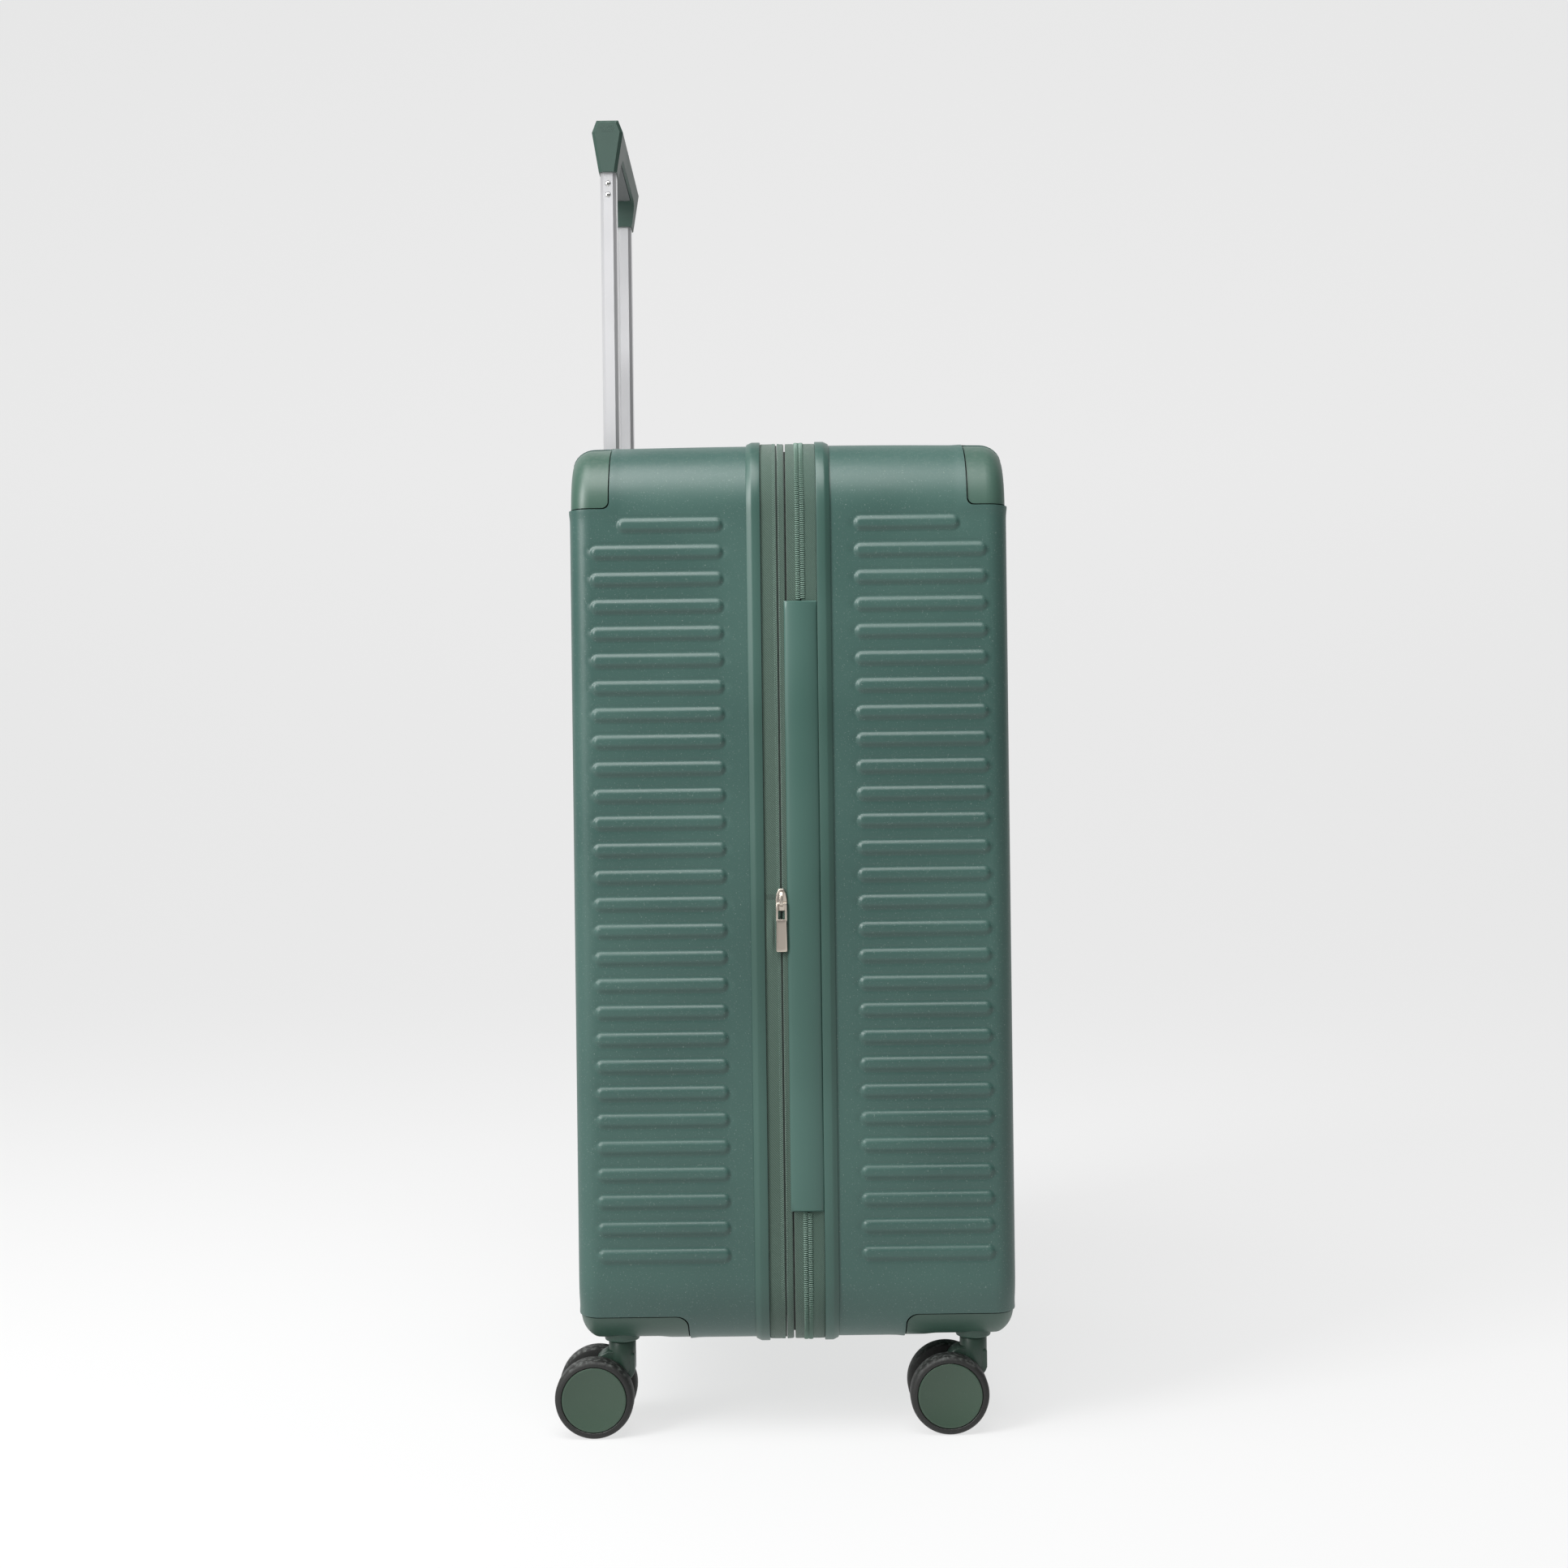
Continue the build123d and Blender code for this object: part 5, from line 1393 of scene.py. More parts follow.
def coil_tooth(length: float, width: float, height: float) -> tuple[np.ndarray, list[tuple[int, ...]]]:
    """A small rounded bar, its head a little wider: points and faces."""
    stations = [(-0.5, 0.45, 0.3), (-0.42, 0.8, 0.8), (-0.1, 0.9, 1.0), (0.25, 1.0, 1.0), (0.42, 0.8, 0.75),
                (0.5, 0.4, 0.25)]
    ring = [(-1.0, 0.0), (-0.85, 0.6), (0.0, 1.0), (0.85, 0.6), (1.0, 0.0), (0.0, -0.2)]
    points = np.array([(s * length, y * width * w, z * height * h) for s, w, h in stations for y, z in ring])
    count = len(ring)
    faces = []
    for i in range(len(stations) - 1):
        for j in range(count):
            k = (j + 1) % count
            faces.append((i * count + j, (i + 1) * count + j, (i + 1) * count + k, i * count + k))
    faces += [tuple(range(count)), tuple(range((len(stations) - 1) * count, len(stations) * count))[::-1]]
    return points, [face[::-1] for face in faces]


@dataclass
class HingeStrip:
    """The coated strip over the main zip on the hinge side, bowed outwards."""

    form: CaseForm
    bow: float = 1.9
    columns: int = 20
    row_step: float = 6.0

    def make(self, shop: Workshop) -> None:
        """Builds the strip between its ends."""
        low, high = (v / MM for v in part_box("hinge_strip"))
        middle = (low.x + high.x) / 2
        half = (high.x - low.x) / 2
        inner = high.y
        crown, rim = low.y - self.bow, high.y - 0.75
        outline = [(low.x + 0.1, inner), (low.x, rim + 0.25)]
        for i in range(self.columns + 1):
            t = -1 + 2 * i / self.columns
            bow = (1 - t * t) ** 0.75
            outline.append((middle + t * (half - 0.15), rim + (crown - rim) * bow))
        outline += [(high.x, rim + 0.25), (high.x - 0.1, inner), (middle, inner)]
        levels = spread(low.z, low.z + 0.4, low.z + 1.2, high.z - 1.2, high.z - 0.4, high.z, step=self.row_step)
        rows = []
        for z in levels:
            thin = 0.25 + 0.75 * float(smoothstep(np.array(min(z - low.z, high.z - z) / 1.2)))
            wave = 0.12 * math.sin(z / 47.0) + 0.08 * math.sin(z / 19.0)
            rows.append([(x, inner + (y - inner) * thin - wave * (y < inner - 0.6), z) for x, y in outline])
        points = np.array(rows).reshape(-1, 3)
        count = len(outline)
        faces = grid_faces(len(levels), count)
        faces += [(i * count + count - 1, (i + 1) * count + count - 1, (i + 1) * count, i * count)
                  for i in range(len(levels) - 1)]
        faces += [tuple(range(count)), tuple(range((len(levels) - 1) * count, len(levels) * count))[::-1]]
        made = build("hinge_strip_cover", points, faces, 45.0)
        outward(made)
        shop.paint(made, FINISH.strip)
        shop.note(made, "strip", "hinge_strip")
        z = self.form.middle_z * MM
        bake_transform(made)


@dataclass
class ZipSlider:
    """A zip slider with its bail, and the pull that hangs from it."""

    name: str
    width: float = 8.4
    length: float = 16.5
    bail_bottom: float = -5.0
    bail_top: float = 6.0
    pull_width: float = 8.2
    pull_thickness: float = 1.6

    def axes(self, side: int) -> Axes:
        """The slider's frame, from its packed box: local Y up and local Z out of the case."""
        low, high = (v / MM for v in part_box(f"{self.name}_zip_slider"))
        surface = low.y + 4.8 if side < 0 else high.y - 4.8
        return Axes(((low.x + high.x) / 2, surface, (low.z + high.z) / 2), (-side * 1.0, 0, 0), (0, 0, 1),
                    (0, side * 1.0, 0))

    def slider(self, axes: Axes) -> bpy.types.Object:
        """The slider's two plates, the post between them and the bail."""
        half, top = self.width / 2, self.length / 2
        outline = [(half * 0.62, -top), (half * 0.95, -top * 0.55), (half, 0.2), (half * 0.82, top * 0.55),
                   (half * 0.45, top), (-half * 0.45, top), (-half * 0.82, top * 0.55), (-half, 0.2),
                   (-half * 0.95, -top * 0.55), (-half * 0.62, -top)]
        upper = plate("upper", outline, 0.3, 1.9, axes, 0.55, 3)
        lower = plate("lower", outline, -3.3, -2.3, axes, 0.4, 2)
        post = plate("post", rounded_rectangle(0.9, 5.4, 0.4, 3, (0, 4.4)), -2.6, 0.6, axes)
        arch = [(self.bail_bottom, 1.5), (self.bail_bottom + 0.1, 3.2), (self.bail_bottom + 0.9, 4.3),
                (self.bail_bottom + 2.2, 4.72), (self.bail_top - 3.4, 4.78), (self.bail_top - 1.4, 4.3),
                (self.bail_top - 0.3, 3.1), (self.bail_top, 1.5), (self.bail_top - 1.3, 1.5),
                (self.bail_top - 1.45, 2.9), (self.bail_top - 2.3, 3.5), (self.bail_top - 3.6, 3.7),
                (self.bail_bottom + 2.4, 3.72), (self.bail_bottom + 1.4, 3.3), (self.bail_bottom + 1.15, 2.6),
                (self.bail_bottom + 1.1, 1.5)]
        across = Axes(axes.origin, axes.y, axes.z, axes.x)
        bail = plate("bail", arch, -1.25, 1.25, across, 0.35, 2)
        return joined(f"{self.name}_slider", [upper, lower, post, bail])

    def pull(self, axes: Axes) -> bpy.types.Object:
        """The pull: two prongs on a round bar, a window between them, and a plain plate with bevelled edges."""
        low, high = (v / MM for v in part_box(f"{self.name}_zip_pull"))
        side = axes.z[1]
        outer = high.y if side > 0 else low.y
        top_z = high.z
        face = abs(outer - axes.origin[1])
        at = Axes((axes.origin[0], axes.origin[1], top_z), axes.x, axes.y, axes.z)
        half, thick = self.pull_width / 2, self.pull_thickness
        prong, window = 1.6, 12.6
        length = high.z - low.z
        body = rounded_rectangle(2 * half, length - window, 1.0, 3, (0, -window - (length - window) / 2))
        taper = [(x * (0.9 if y > -window - 2 else 1.0), y) for x, y in body]
        slab = plate("slab", taper, face - thick, face, at, 0.4, 3)
        field_outline = rounded_rectangle(2 * half - 2.6, length - window - 5.0, 0.8, 3,
                                          (0, -window - (length - window) / 2 - 0.2))
        combine(slab, [plate("inset", field_outline, face - 0.18, face + 0.4, at)], Cut.AWAY)
        parts = [slab]
        for hand in SIDES:
            shape = [(half, -window - 1.2), (half, -1.6), (half - 0.5, -0.5), (half - prong + 0.4, -0.1),
                     (half - prong, -0.8), (half - prong, -window - 1.2)]
            shape = [(hand * px, py) for px, py in shape]
            parts.append(plate("prong", shape if hand > 0 else shape[::-1], face - thick, face, at, 0.35, 2))
        bar = Axes((at.origin[0], at.origin[1] + side * (face - thick / 2), top_z - thick / 2),
                   at.y, at.z, at.x)
        end, bar_r = half - 0.3, thick / 2
        parts.append(revolved("bar", [(0, -end), (bar_r, -end), (bar_r, end), (0, end)], bar, 20))
        return joined(f"{self.name}_pull", parts)

    def make(self, shop: Workshop, side: int) -> None:
        """Builds the slider and its pull."""
        axes = self.axes(side)
        shop.mount(self.slider(axes), f"{self.name}_slider", "zip_metal", f"{self.name}_zip_slider")
        shop.mount(self.pull(axes), f"{self.name}_pull", "zip_metal", f"{self.name}_zip_pull")


# --------------------------------------------------------------------------- casters
@dataclass
class Caster:
    """One twin-wheel caster: fork with its stem, axle, hubs and tyres."""

    end: int
    side: int
    trail: float = 20.0
    wheel_r: float = 30.0
    wheel_width: float = 17.0
    spacing: float = 36.0
    hub_r: float = 22.5
    disc_r: float = 24.4
    web: float = 16.4
    head_r: float = 10.4

    @property
    def corner(self) -> str:
        """The corner's name, as in its bodies and nodes."""
        return f"{END_NAMES[self.end]}_{SIDE_NAMES[self.side]}"

    def tyre(self, axle: Axes, out: int) -> bpy.types.Object:
        """One tyre with rounded shoulders and a shallow crown."""
        inner, outer = (self.spacing - self.wheel_width) / 2, (self.spacing + self.wheel_width) / 2
        r, hub = self.wheel_r, self.hub_r
        outline = [(hub, inner), (r - 3.6, inner), (r - 1.5, inner + 0.5), (r - 0.5, inner + 1.8)]
        outline.append((r, inner + 4.2))
        outline += [(r, outer - 4.6), (r - 0.35, outer - 2.7), (r - 1.0, outer - 1.4), (r - 2.2, outer - 0.45),
                    (r - 3.4, outer - 0.1), (self.disc_r + 0.9, outer - 0.1), (self.disc_r + 0.55, outer - 0.4),
                    (self.disc_r + 0.55, outer - 2.0), (hub, outer - 2.0)]
        outline = [(radius, out * height) for radius, height in outline]
        return revolved("tyre", outline if out > 0 else outline[::-1], axle, 128, closed=True, sharp=38.0)

    def hub(self, axle: Axes, out: int) -> bpy.types.Object:
        """One hub with its flat cover disc and a fine rim."""
        inner, outer = (self.spacing - self.wheel_width) / 2, (self.spacing + self.wheel_width) / 2
        outline = [(3.0, inner), (6.5, inner), (6.5, inner + 1.2), (16.0, inner + 1.2), (18.5, inner),
                   (self.hub_r, inner), (self.hub_r, outer - 1.95), (self.disc_r, outer - 1.95),
                   (self.disc_r, outer - 0.45), (self.disc_r - 0.25, outer - 0.12), (self.disc_r - 0.7, outer),
                   (self.disc_r - 1.4, outer - 0.02), (self.disc_r - 1.7, outer - 0.16), (0.0, outer - 0.16)]
        outline = [(radius, out * height) for radius, height in outline]
        return revolved("hub", outline, axle, 96, sharp=30.0)

    def fork(self, x: float, y: float) -> bpy.types.Object:
        """The fork: a drum under the boss, a stem, and a web that trails down between the wheels."""
        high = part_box(f"caster_fork_{self.corner}")[1] / MM
        head_top, r = high.z - 18.0, self.head_r
        stem = Axes((x, y, 0.0))
        drum = [(0.0, 43.0), (r - 3.5, 43.0), (r - 1.2, 45.0), (r - 0.3, 48.0), (r, 52.0), (r, head_top - 1.0),
                (r - 0.7, head_top), (5.0, head_top), (5.0, high.z - 1.0), (4.2, high.z), (0.0, high.z)]
        head = revolved("head", drum, stem, 64)
        plane = Axes((x, y, 0.0), (1, 0, 0), (0, 0, 1), (0, -1, 0))
        t = self.trail
        leg = [(r - 0.4, 60.0), (r - 0.4, 46.5), (r - 1.6, 43.5), (5.0, 38.6), (-t + 9.0, 23.0), (-t + 5.0, 21.6),
               (-t - 4.0, 21.2), (-t - 7.5, 23.4), (-t - 9.8, 30.0), (-t - 8.4, 36.4), (-t - 4.4, 41.5),
               (-t - 1.4, 50.0), (-t + 1.2, 56.6), (-t + 4.0, 59.6), (-r, 62.5)]
        web = plate("web", leg, -self.web / 2, self.web / 2, plane, 1.6, 4)
        pocket_outline = [(-14.0 + 8.0 * math.cos(a), 43.0 + 6.2 * math.sin(a) + 3.0 * math.cos(a))
                          for a in np.linspace(0, 2 * math.pi, 28, endpoint=False)]
        pockets = [plate("pocket", pocket_outline, s * (self.web / 2 - 1.1), s * (self.web / 2 + 2), plane)
                   for s in SIDES]
        combine(web, pockets, Cut.AWAY)
        rounded_edges(web, 0.35, 2, 50)
        settle(web)
        bore = revolved("bore", [(0, -20), (3.05, -20), (3.05, 20), (0, 20)],
                        Axes((x - t, y, self.wheel_r), (1, 0, 0), (0, 0, 1), (0, -1, 0)), 40)
        combine(web, [bore], Cut.AWAY)
        return joined(f"caster_{self.corner}_fork", [head, web])

    def make(self, shop: Workshop) -> None:
        """Builds the caster's pieces on their two bodies."""
        low, high = (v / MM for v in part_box(f"caster_axle_{self.corner}"))
        x, y = (low.x + high.x) / 2, (low.y + high.y) / 2
        axle = Axes((x, y, self.wheel_r), (1, 0, 0), (0, 0, -1), (0, 1, 0))
        fork = self.fork(x + self.trail, y)
        shop.mount(fork, f"caster_{self.corner}", "fork", f"caster_fork_{self.corner}")
        wheels = f"wheels_{self.corner}"
        tyres = joined(f"caster_{self.corner}_tyres", [self.tyre(axle, s) for s in SIDES], 38.0)
        shop.mount(tyres, wheels, "tyre", f"caster_tyres_{self.corner}")
        hubs = joined(f"caster_{self.corner}_hubs", [self.hub(axle, s) for s in SIDES])
        shop.mount(hubs, wheels, "hub", f"caster_hubs_{self.corner}")
        shop.dress(f"caster_axle_{self.corner}", FINISH.steel, 0.3)


# --------------------------------------------------------------------------- trolley handle
@dataclass
class TrolleyHandle:
    """The telescoping handle: tubes, grip, liner, button, screws and what holds them in the case."""

    dot_pitch: float = 1.35
    dot_r: float = 0.28
    screw_r: float = 2.2

    def dots(self, name: str) -> bpy.types.Object:
        """Rows of small raised dots on both ends of the grip."""
        low, high = (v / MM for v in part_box("handle_grip"))
        x = (low.x + high.x) / 2
        points, faces = coil_tooth(2 * self.dot_r, self.dot_r, 0.22)
        places = []
        for side in SIDES:
            y = high.y if side > 0 else low.y
            for row in range(4):
                count = 9 if row % 2 else 8
                for k in range(count):
                    places.append(np.array([[x + (k - (count - 1) / 2) * self.dot_pitch, y - side * 0.02,
                                             high.z - 5.2 - row * 1.5], [1, 0, 0], [0, 0, -side], [0, side, 0]]))
        return repeated(name, (points, faces), places, 60.0)

    def screw(self, x: float, y: float, z: float, side: int) -> bpy.types.Object:
        """A low domed screw head with a cross recess, on a short shank."""
        axes = Axes((x, y, z), (1, 0, 0), (0, 0, -side), (0, side, 0))
        r = self.screw_r
        dome = [(0.0, -3.4), (1.2, -3.4), (1.2, -1.2), (r, -1.2), (r, -0.25), (r - 0.35, 0.12), (r * 0.6, 0.35),
                (r * 0.3, 0.42), (0.0, 0.44)]
        head = revolved("head", dome, axes, 40)
        arms = [plate("arm", rounded_rectangle(w, h, 0.12, 2), -0.35, 1.0, axes)
                for w, h in ((0.5, 2.3), (2.3, 0.5))]
        return combine(head, arms, Cut.AWAY)

    def make(self, shop: Workshop) -> None:
        """Builds the handle's own pieces and dresses the ones kept from the frame."""
        shop.mount(self.dots("grip_dots"), "trolley", "grip")
        low, high = (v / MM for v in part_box("grip_screws"))
        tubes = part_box("handle_tubes")
        x = (tubes[0].x + tubes[1].x) / 2 / MM
        heights = (high.z - 2.25, low.z + 2.25)
        screws = [self.screw(x, (low.y if s < 0 else high.y), z, s) for s in SIDES for z in heights]
        shop.mount(joined("grip_screw_heads", screws), "trolley", "steel", "grip_screws")
        for node, finish, edge in (
                ("handle_tubes", FINISH.tube, 0.25), ("handle_grip", FINISH.grip, 0.8),
                ("grip_liner", FINISH.inner_plastic, 0.4), ("tube_end_blocks", FINISH.inner_plastic, 0.3),
                ("release_button", FINISH.fitting, 0.0), ("push_rods", FINISH.steel, 0.2),
                ("lock_pins", FINISH.steel, 0.2), ("handle_sleeves", FINISH.tube, 0.2),
                ("handle_bezel", FINISH.fitting, 0.7), ("handle_foot", FINISH.inner_plastic, 0.6)):
            shop.dress(node, finish, edge)


# --------------------------------------------------------------------------- fittings
@dataclass
class CarryHandle:
    """A flush carry handle: a rounded bar with a ribbed pad, on two legs with feet."""

    which: str
    length: float = 176.0
    width: float = 24.0
    thickness: float = 10.0
    leg_spacing: float = 160.0
    leg_x: float = 12.0
    leg_y: float = 8.0
    pad_width: float = 14.0
    pad_length: float = 128.0
    rib_pitch: float = 4.0

    def axes(self) -> Axes:
        """The handle's frame, from its packed box: local Y along the bar, local Z out of the case."""
        low, high = (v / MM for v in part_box(f"{self.which}_carry_handle"))
        middle = (low + high) / 2
        if self.which == "top":
            return Axes((middle.x, middle.y, high.z), (1, 0, 0), (0, 1, 0), (0, 0, 1))
        return Axes((middle.x, high.y, middle.z), (-1, 0, 0), (0, 0, 1), (0, 1, 0))

    def reach(self) -> float:
        """How far the feet lie below the bar's top."""
        low, high = (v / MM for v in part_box(f"{self.which}_carry_handle"))
        return (high - low)[2 if self.which == "top" else 1]

    def make(self, shop: Workshop) -> None:
        """Builds the handle and its pad."""
        axes, deep = self.axes(), self.reach()
        outline = rounded_rectangle(self.width, self.length, 8.0, 8)
        bar = plate("bar", outline, -self.thickness, -0.3, axes, 3.4, 5)
        parts = [bar]
        for side in SIDES:
            centre = (0.0, side * self.leg_spacing / 2)
            leg = rounded_rectangle(self.leg_x, self.leg_y, 1.5, 4, centre)
            foot = rounded_rectangle(self.leg_x + 4, self.leg_y + 5, 2.0, 4, centre)
            parts.append(plate("leg", leg, -deep + 2.0, -self.thickness + 1.0, axes))
            parts.append(plate("foot", foot, -deep, -deep + 2.5, axes, 0.4, 2))
        made = joined(f"{self.which}_handle_bar", parts)
        shop.mount(made, f"{self.which}_handle", "grip", f"{self.which}_carry_handle")
        outline = rounded_rectangle(self.pad_width, self.pad_length, 6.0, 8)
        pad = [plate("pad", outline, -1.2, -0.15, axes, 0.25, 2)]
        count = int((self.pad_length - 12) / self.rib_pitch)
        for i in range(count):
            centre = (0.0, (i - (count - 1) / 2) * self.rib_pitch)
            outline = rounded_rectangle(self.pad_width - 3, 1.6, 0.7, 3, centre)
            pad.append(plate("rib", outline, -0.6, 0.25, axes, 0.2, 2))
        shop.mount(joined(f"{self.which}_handle_pad", pad), f"{self.which}_handle", "inner_plastic")


@dataclass
class CombinationLock:
    """The lock on the lid: its housing, three numbered dials and the opening slide."""

    digit_size: float = 2.7
    stand_out: float = 0.12

    def digits(self, dial: int) -> bpy.types.Object:
        """The ten numbers round one dial, as thin raised figures."""
        low, high = (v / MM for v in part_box(f"lock_dial_{dial}"))
        x, y, z = (low.x + high.x) / 2, (low.y + high.y) / 2, (low.z + high.z) / 2
        radius = (high.x - low.x) / 2
        made = []
        for number in range(10):
            text = bpy.data.curves.new("figure", "FONT")
            text.body = str(number)
            text.size = self.digit_size * MM
            text.align_x, text.align_y = "CENTER", "CENTER"
            text.extrude = self.stand_out * MM
            turn = math.radians(90 + 36 * number + 18)
            out = Vector((math.cos(turn), math.sin(turn), 0))
            figure = new_object("figure", bpy.data.meshes.new("figure"))
            source = bpy.data.objects.new("source", text)
            bpy.context.scene.collection.objects.link(source)
            bpy.context.view_layer.update()
            figure.data = bpy.data.meshes.new_from_object(source)
            bpy.data.objects.remove(source)
            right = Vector((0, 0, 1)).cross(out)
            turned = Matrix((right, Vector((0, 0, 1)), out)).transposed().to_4x4()
            place = Matrix.Translation(Vector((x, y, z)) * MM + out * (radius * MM)) @ turned
            figure.data.transform(place)
            made.append(figure)
        return joined(f"dial_{dial}_figures", made)

    def make(self, shop: Workshop) -> None:
        """Dresses the lock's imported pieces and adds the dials' figures."""
        for dial in (1, 2, 3):
            shop.mount(self.digits(dial), f"dial_{dial}", "dial", finish=FINISH.figure)
            shop.dress(f"lock_dial_{dial}", FINISH.dial, 0.2)
        shop.dress("lock_housing", FINISH.fitting, 0.4)
        shop.dress("lock_slide", FINISH.zip_metal, 0.3)


# --------------------------------------------------------------------------- inside
@dataclass
class Lining:
    """The cloth inside one half, stepping round the fittings that stand into the case."""

    form: CaseForm
    end: int
    gap: float = 6.5
    thickness: float = 1.0
    start: float = 22.5
    clear: float = 2.0
    step: float = 6.0
    pucker: float = 0.55
    false_back: float = 31.0

    def bumps(self) -> list[tuple[np.ndarray, np.ndarray]]:
        """The boxes that the cloth steps round, in lattice coordinates."""
        f, c = self.form, self.clear
        far, deep = 1e3, np.array([f.half_depth, f.half_width, f.half_height])
        boxes = []
        for side in SIDES:
            ys = sorted((side * (f.half_width - HOUSING.width - 2 - c), side * far))
            boxes.append(((deep[0] - HOUSING.depth - 2 - c, ys[0], -far), (far, ys[1], -deep[2] + 28.5 + c)))
        if self.end > 0:
            low, high = (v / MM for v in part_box("lock_housing"))
            boxes.append(((low.x - f.middle_x - c, low.y - c, low.z - f.middle_z - c),
                          (high.x - f.middle_x + c, far, high.z - f.middle_z + c)))
            return [(np.array(a, float), np.array(b, float)) for a, b in boxes]
        reach = 43.0 + c
        x0, x1 = 73.0 - 20 - c, 73.0 + 20 + c
        boxes.append(((x0, -93 - c, deep[2] - reach), (x1, 93 + c, far)))
        boxes.append(((x0, deep[1] - reach, -93 - c), (x1, far, 93 + c)))
        boxes.append(((deep[0] - 42 - c, -101 - c, deep[2] - 50 - c), (far, 101 + c, far)))
        boxes.append(((deep[0] - self.false_back, -far, -far), (far, far, far)))
        return [(np.array(a, float), np.array(b, float)) for a, b in boxes]

    def step_round(self, points: np.ndarray, grow: float) -> np.ndarray:
        """Pushes points out of the boxes, each the shortest way towards the inside."""
        for low, high in self.bumps():
            low, high = low - grow, high + grow
            inside = np.all((points > low) & (points < high), axis=1)
            ways = np.stack([points - low, high - points], -1)
            ways[:, (low < -900), 0] = 1e6
            ways[:, (high > 900), 1] = 1e6
            flat = ways.reshape(len(points), 6)
            best = flat.argmin(1)
            axis, upper = best // 2, best % 2
            move = np.where(upper == 1, flat.min(1), -flat.min(1))
            points = points.copy()
            rows = np.nonzero(inside)[0]
            points[rows, axis[rows]] += move[rows]
        return points

    def make(self, shop: Workshop) -> None:
        """Builds the lining."""
        f = self.form
        a, b = f.half_width - f.corner_r, f.half_height - f.corner_r
        depths = spread(self.start, f.half_depth - f.edge_r - 0.5, step=self.step)
        skin = Skin(f, self.end, self.start, self.gap, spread(-a, a, step=self.step),
                    spread(-b, b, step=self.step), depths, corner_steps=10, edge_steps=4)
        points, normals, faces, _ = skin.lattice()
        points = self.step_round(points, 0.3)
        mesh = bmesh.new()
        for point in points:
            mesh.verts.new(point)
        mesh.verts.ensure_lookup_table()
        for face in faces:
            mesh.faces.new([mesh.verts[i] for i in face])
        open_edge = [v for v in mesh.verts if v.is_boundary]
        held = set(open_edge)
        inner = [v for v in mesh.verts if v not in held]
        for _ in range(3):
            bmesh.ops.smooth_vert(mesh, verts=inner, factor=0.5, use_axis_x=True, use_axis_y=True,
                                  use_axis_z=True)
        points = self.step_round(np.array([v.co for v in mesh.verts]), 0.0)
        mesh.free()
        waves = (np.sin(points[:, 1] / 17.0 + np.sin(points[:, 2] / 29.0) * 1.7) * np.sin(points[:, 2] / 23.0)
                 + 0.6 * np.sin(points[:, 2] / 9.0 + points[:, 0] / 13.0))
        rise = self.pucker * (0.6 + 0.5 * waves) * np.clip((points[:, 0] - self.start) / 12.0, 0, 1)
        points = points - normals * np.maximum(rise, 0)[:, None]
        points[:, 0] = f.middle_x + self.end * points[:, 0]
        points[:, 2] += f.middle_z
        made = build(f"{END_NAMES[self.end]}_lining_cloth", points,
                     faces if self.end > 0 else [face[::-1] for face in faces], 60.0)
        cloth = made.modifiers.new("cloth", "SOLIDIFY")
        cloth.thickness, cloth.offset = self.thickness * MM, -1
        settle(made, 60.0)
        shop.mount(made, "case" if self.end < 0 else "lid", "lining", f"{END_NAMES[self.end]}_lining")


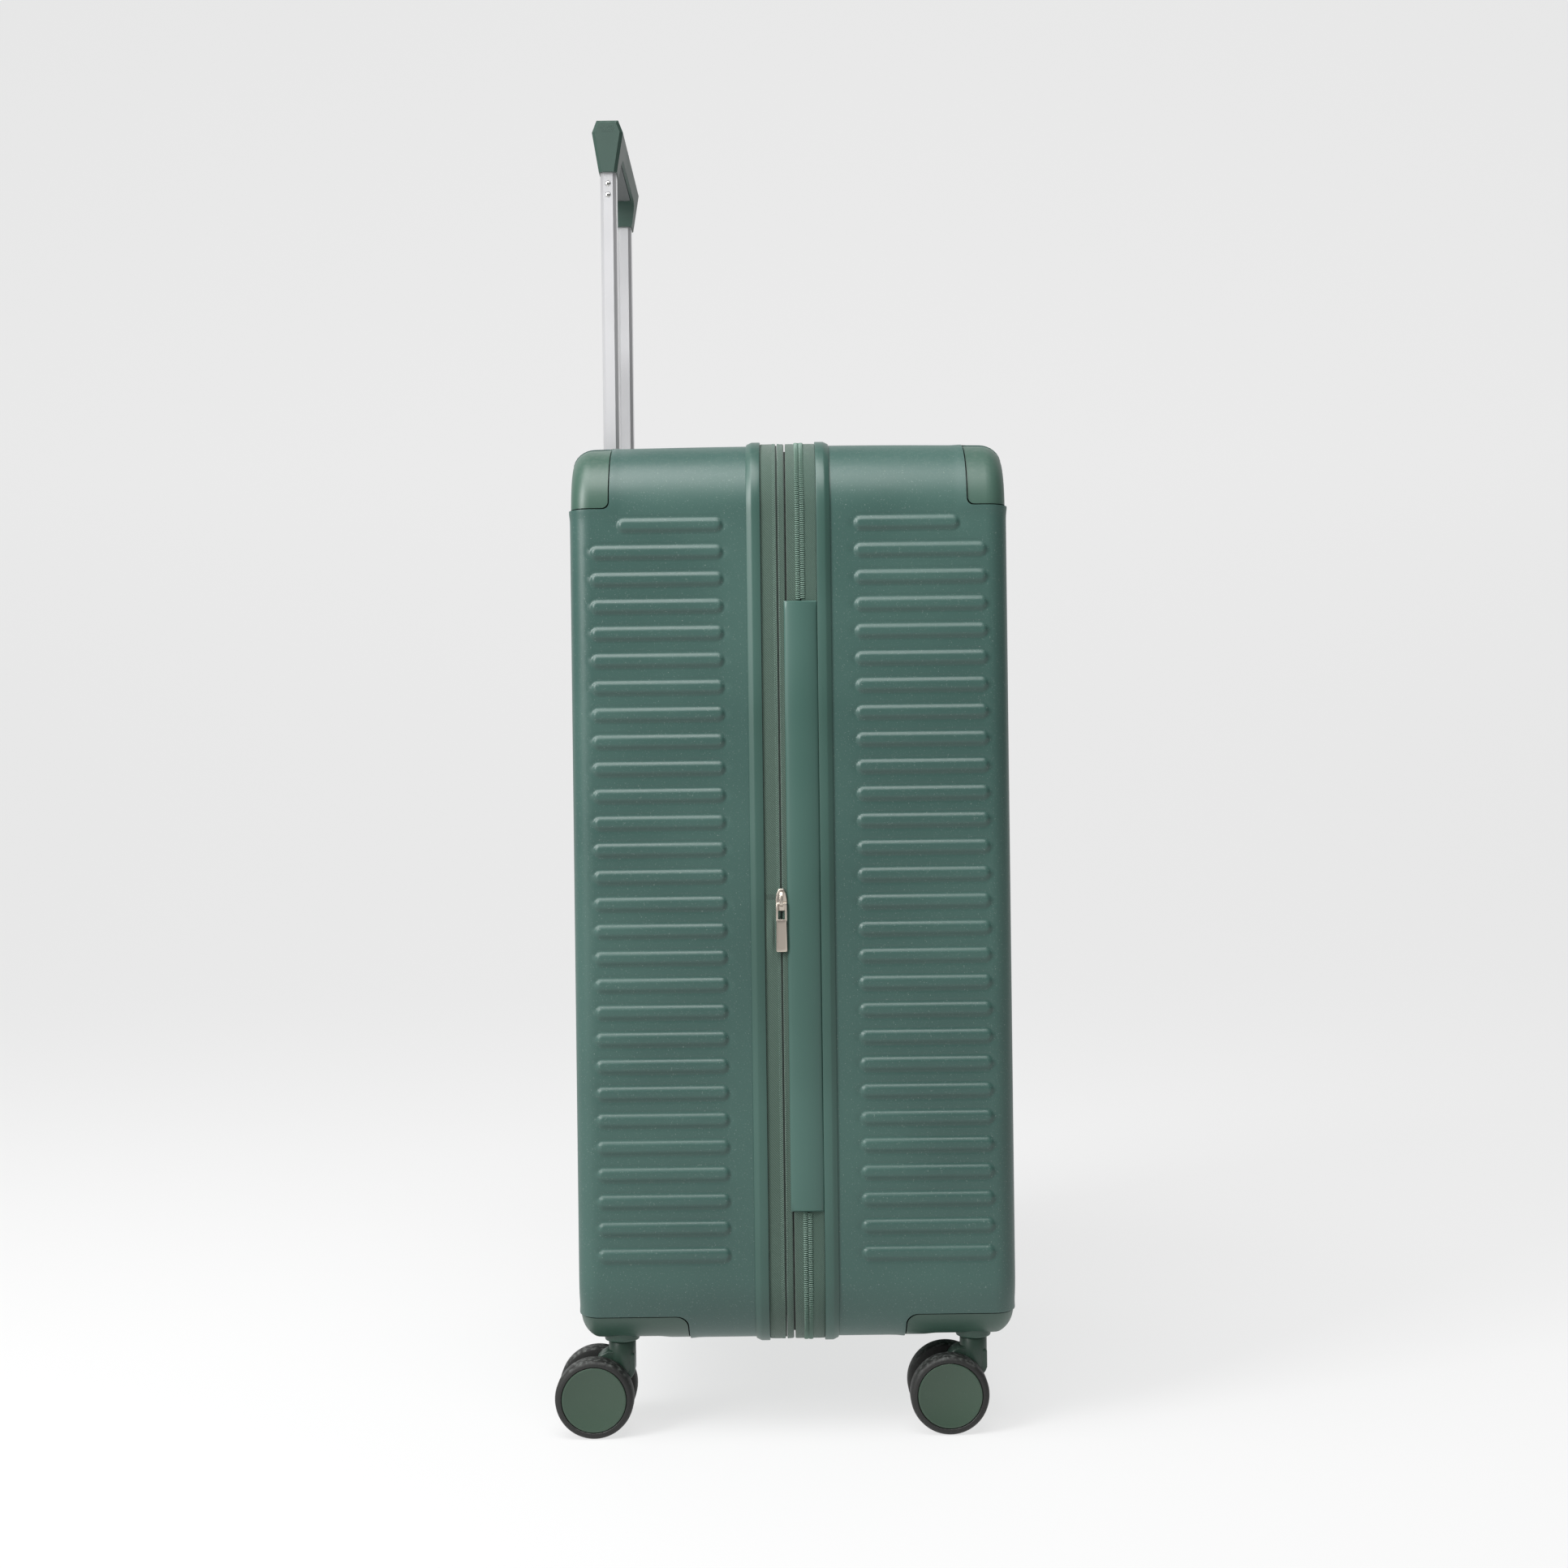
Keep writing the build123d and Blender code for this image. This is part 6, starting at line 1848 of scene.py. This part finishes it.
@dataclass
class PackingStraps:
    """Two webbing straps across the back half, each closed by a side release buckle."""

    width: float = 25.0
    thickness: float = 1.2

    def strap(self, z: float, x: float, low: float, high: float) -> bpy.types.Object:
        """One strap with woven edges, waving a little between its ends."""
        ring = [(-0.5, 0.0), (-0.49, 0.35), (-0.46, 0.5), (-0.25, 0.5), (0.0, 0.5), (0.25, 0.5), (0.46, 0.5),
                (0.49, 0.35), (0.5, 0.0), (0.49, -0.35), (0.46, -0.5), (0.0, -0.5), (-0.46, -0.5), (-0.49, -0.35)]
        rows = []
        for y in spread(low, high, step=5.0):
            wave = 0.5 * math.sin((y - low) / 37.0) * math.sin(math.pi * (y - low) / (high - low))
            rows.append([(x + t * self.thickness + wave, y, z + w * self.width) for w, t in ring])
        count = len(ring)
        faces = []
        for i in range(len(rows) - 1):
            near, far = i * count, (i + 1) * count
            faces += [(near + j, far + j, far + (j + 1) % count, near + (j + 1) % count) for j in range(count)]
        faces += [tuple(range(count)), tuple(range((len(rows) - 1) * count, len(rows) * count))[::-1]]
        made = build("strap", np.array(rows).reshape(-1, 3), faces, 50.0)
        outward(made)
        return made

    def buckle(self, z: float, x: float) -> bpy.types.Object:
        """One buckle: a socket with a window each side, its tongue's prongs, and the strap bars."""
        axes = Axes((x, 0.0, z), (0, 1, 0), (0, 0, 1), (1, 0, 0))
        half = 16.5
        socket = [(-4, -half), (20, -half + 1.5), (26, -half + 5), (26, half - 5), (20, half - 1.5), (-4, half)]
        body = plate("socket", socket, -2.5, 2.5, axes, 1.0, 3)
        windows = [plate("window", rounded_rectangle(9, 5, 1.2, 3, (5, s * (half - 1.5))), -4, 4, axes)
                   for s in SIDES]
        slot = plate("slot", rounded_rectangle(2.4, 25.6, 0.8, 3, (21, 0)), -4, 4, axes)
        combine(body, [*windows, slot], Cut.AWAY)
        tongue = [(-26, -half + 4), (-20, -half + 1), (-7, -half + 2), (-4.5, -half + 3), (-4.5, half - 3),
                  (-7, half - 2), (-20, half - 1), (-26, half - 4)]
        base = plate("tongue", tongue, -2.2, 2.2, axes, 0.9, 3)
        combine(base, [plate("slot", rounded_rectangle(2.4, 25.6, 0.8, 3, (-21, 0)), -4, 4, axes)], Cut.AWAY)
        prongs = [plate("prong", rounded_rectangle(11, 3.2, 1.2, 3, (3, s * (half - 3.2))), -1.6, 1.6, axes,
                        0.5, 2) for s in SIDES]
        return joined("buckle", [body, base, *prongs])

    def make(self, shop: Workshop) -> None:
        """Builds the straps and buckles."""
        low, high = (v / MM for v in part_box("packing_straps"))
        box = [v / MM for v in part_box("strap_buckles")]
        heights = (low.z + self.width / 2, high.z - self.width / 2)
        x, buckle_x = (low.x + high.x) / 2, (box[0].x + box[1].x) / 2
        straps = [self.strap(z, x, low.y, high.y) for z in heights]
        shop.mount(joined("packing_strap_webbing", straps, 50.0), "case", "strap", "packing_straps")
        buckles = [self.buckle(z, buckle_x) for z in heights]
        shop.mount(joined("packing_strap_buckles", buckles), "case", "inner_plastic", "strap_buckles")


# --------------------------------------------------------------------------- stage
@dataclass
class Studio:
    """A pale floor that sweeps up behind the object, soft lights and the camera."""

    camera_place: tuple[float, float, float] = (0.004, -1.756, 0.495)
    lens: float = 46.1
    roll: float = 0.7
    paper: float = 0.2
    glow: float = 0.71

    def sweep(self) -> None:
        """Builds the floor and backdrop as one curved sheet."""
        radius, back, reach, height = 1.5, 4.5, 9.0, 7.0
        path = [(-reach, 0.0), (-3.0, 0.0), (0.0, 0.0), (back - radius, 0.0)]
        path += [(back - radius + radius * math.sin(t), radius - radius * math.cos(t))
                 for t in np.linspace(0, math.pi / 2, 17)[1:]]
        path.append((back, height))
        points = [(x, y, z) for y, z in path for x in (-reach, 0.0, reach)]
        mesh = bpy.data.meshes.new("studio_sweep")
        mesh.from_pydata(points, [], [face[::-1] for face in grid_faces(len(path), 3)])
        soften(mesh, 60.0)
        floor = new_object("studio_sweep", mesh)
        material = bpy.data.materials.new("studio_paper")
        material.use_nodes = True
        shader = material.node_tree.nodes["Principled BSDF"]
        shader.inputs["Base Color"].default_value = (self.paper, self.paper, self.paper, 1.0)
        shader.inputs["Roughness"].default_value = 1.0
        shader.inputs["Specular IOR Level"].default_value = 0.0
        shader.inputs["Emission Color"].default_value = (1.0, 1.0, 1.0, 1.0)
        shader.inputs["Emission Strength"].default_value = self.glow
        floor.data.materials.append(material)
        floor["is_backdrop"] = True

    def light(self, name: str, place: Sequence[float], target: Sequence[float], size: Sequence[float],
              power: float) -> None:
        """Adds a soft rectangular light that faces a target."""
        data = bpy.data.lights.new(name, "AREA")
        data.shape, data.size, data.size_y, data.energy = "RECTANGLE", size[0], size[1], power
        lamp = bpy.data.objects.new(name, data)
        bpy.context.scene.collection.objects.link(lamp)
        lamp.location = place
        lamp.rotation_euler = (Vector(target) - Vector(place)).to_track_quat("-Z", "Y").to_euler()

    def make(self) -> None:
        """Builds the stage."""
        self.sweep()
        world = bpy.data.worlds.new("studio")
        world.use_nodes = True
        world.node_tree.nodes["Background"].inputs["Color"].default_value = (1.0, 1.0, 1.0, 1.0)
        world.node_tree.nodes["Background"].inputs["Strength"].default_value = 0.12
        scene = bpy.context.scene
        scene.world = world
        self.light("left_softbox", (-1.8, -1.6, 1.7), (0, -0.2, 0.45), (0.9, 1.5), 62)
        self.light("top_softbox", (-0.4, -1.0, 2.5), (0, -0.2, 0.5), (2.2, 1.3), 58)
        scene.view_settings.view_transform = "Standard"
        scene.view_settings.look = "None"
        data = bpy.data.cameras.new("camera")
        data.lens, data.sensor_width = self.lens, 36.0
        camera = bpy.data.objects.new("camera", data)
        scene.collection.objects.link(camera)
        camera.location = self.camera_place
        camera.rotation_euler = (math.radians(90), math.radians(self.roll), 0)
        scene.camera = camera


def main() -> None:
    """Builds the suitcase round its frame."""
    logging.basicConfig(level=logging.INFO, format="%(message)s")
    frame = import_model()
    cad_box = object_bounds()
    shop = Workshop(frame)
    form = CaseForm.from_frame()
    log.info("case form: %s", form)
    rim = form.rim()
    for end in SIDES:
        Shell(form, end).make(shop)
        CornerGuards(form, end).make(shop)
        WheelHousings(form, end).make(shop)
        RimRail(rim, end).make(shop)
    Tapes(form, rim).make(shop)
    HingeStrip(form).make(shop)
    ZipSlider("expansion").make(shop, -1)
    ZipSlider("upper").make(shop, 1)
    ZipSlider("lower").make(shop, 1)
    for end in SIDES:
        for side in SIDES:
            Caster(end, side).make(shop)
    TrolleyHandle().make(shop)
    shop.dress("handle_cups", FINISH.fitting, 0.5)
    CarryHandle("top").make(shop)
    CarryHandle("side").make(shop)
    CombinationLock().make(shop)
    for end in SIDES:
        Lining(form, end).make(shop)
    PackingStraps().make(shop)
    Studio().make()
    boxes = {"cad": cad_box, "visual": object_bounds()}
    {name: [list(low), list(high)] for name, (low, high) in boxes.items()}


if __name__ == "__main__":
    main()
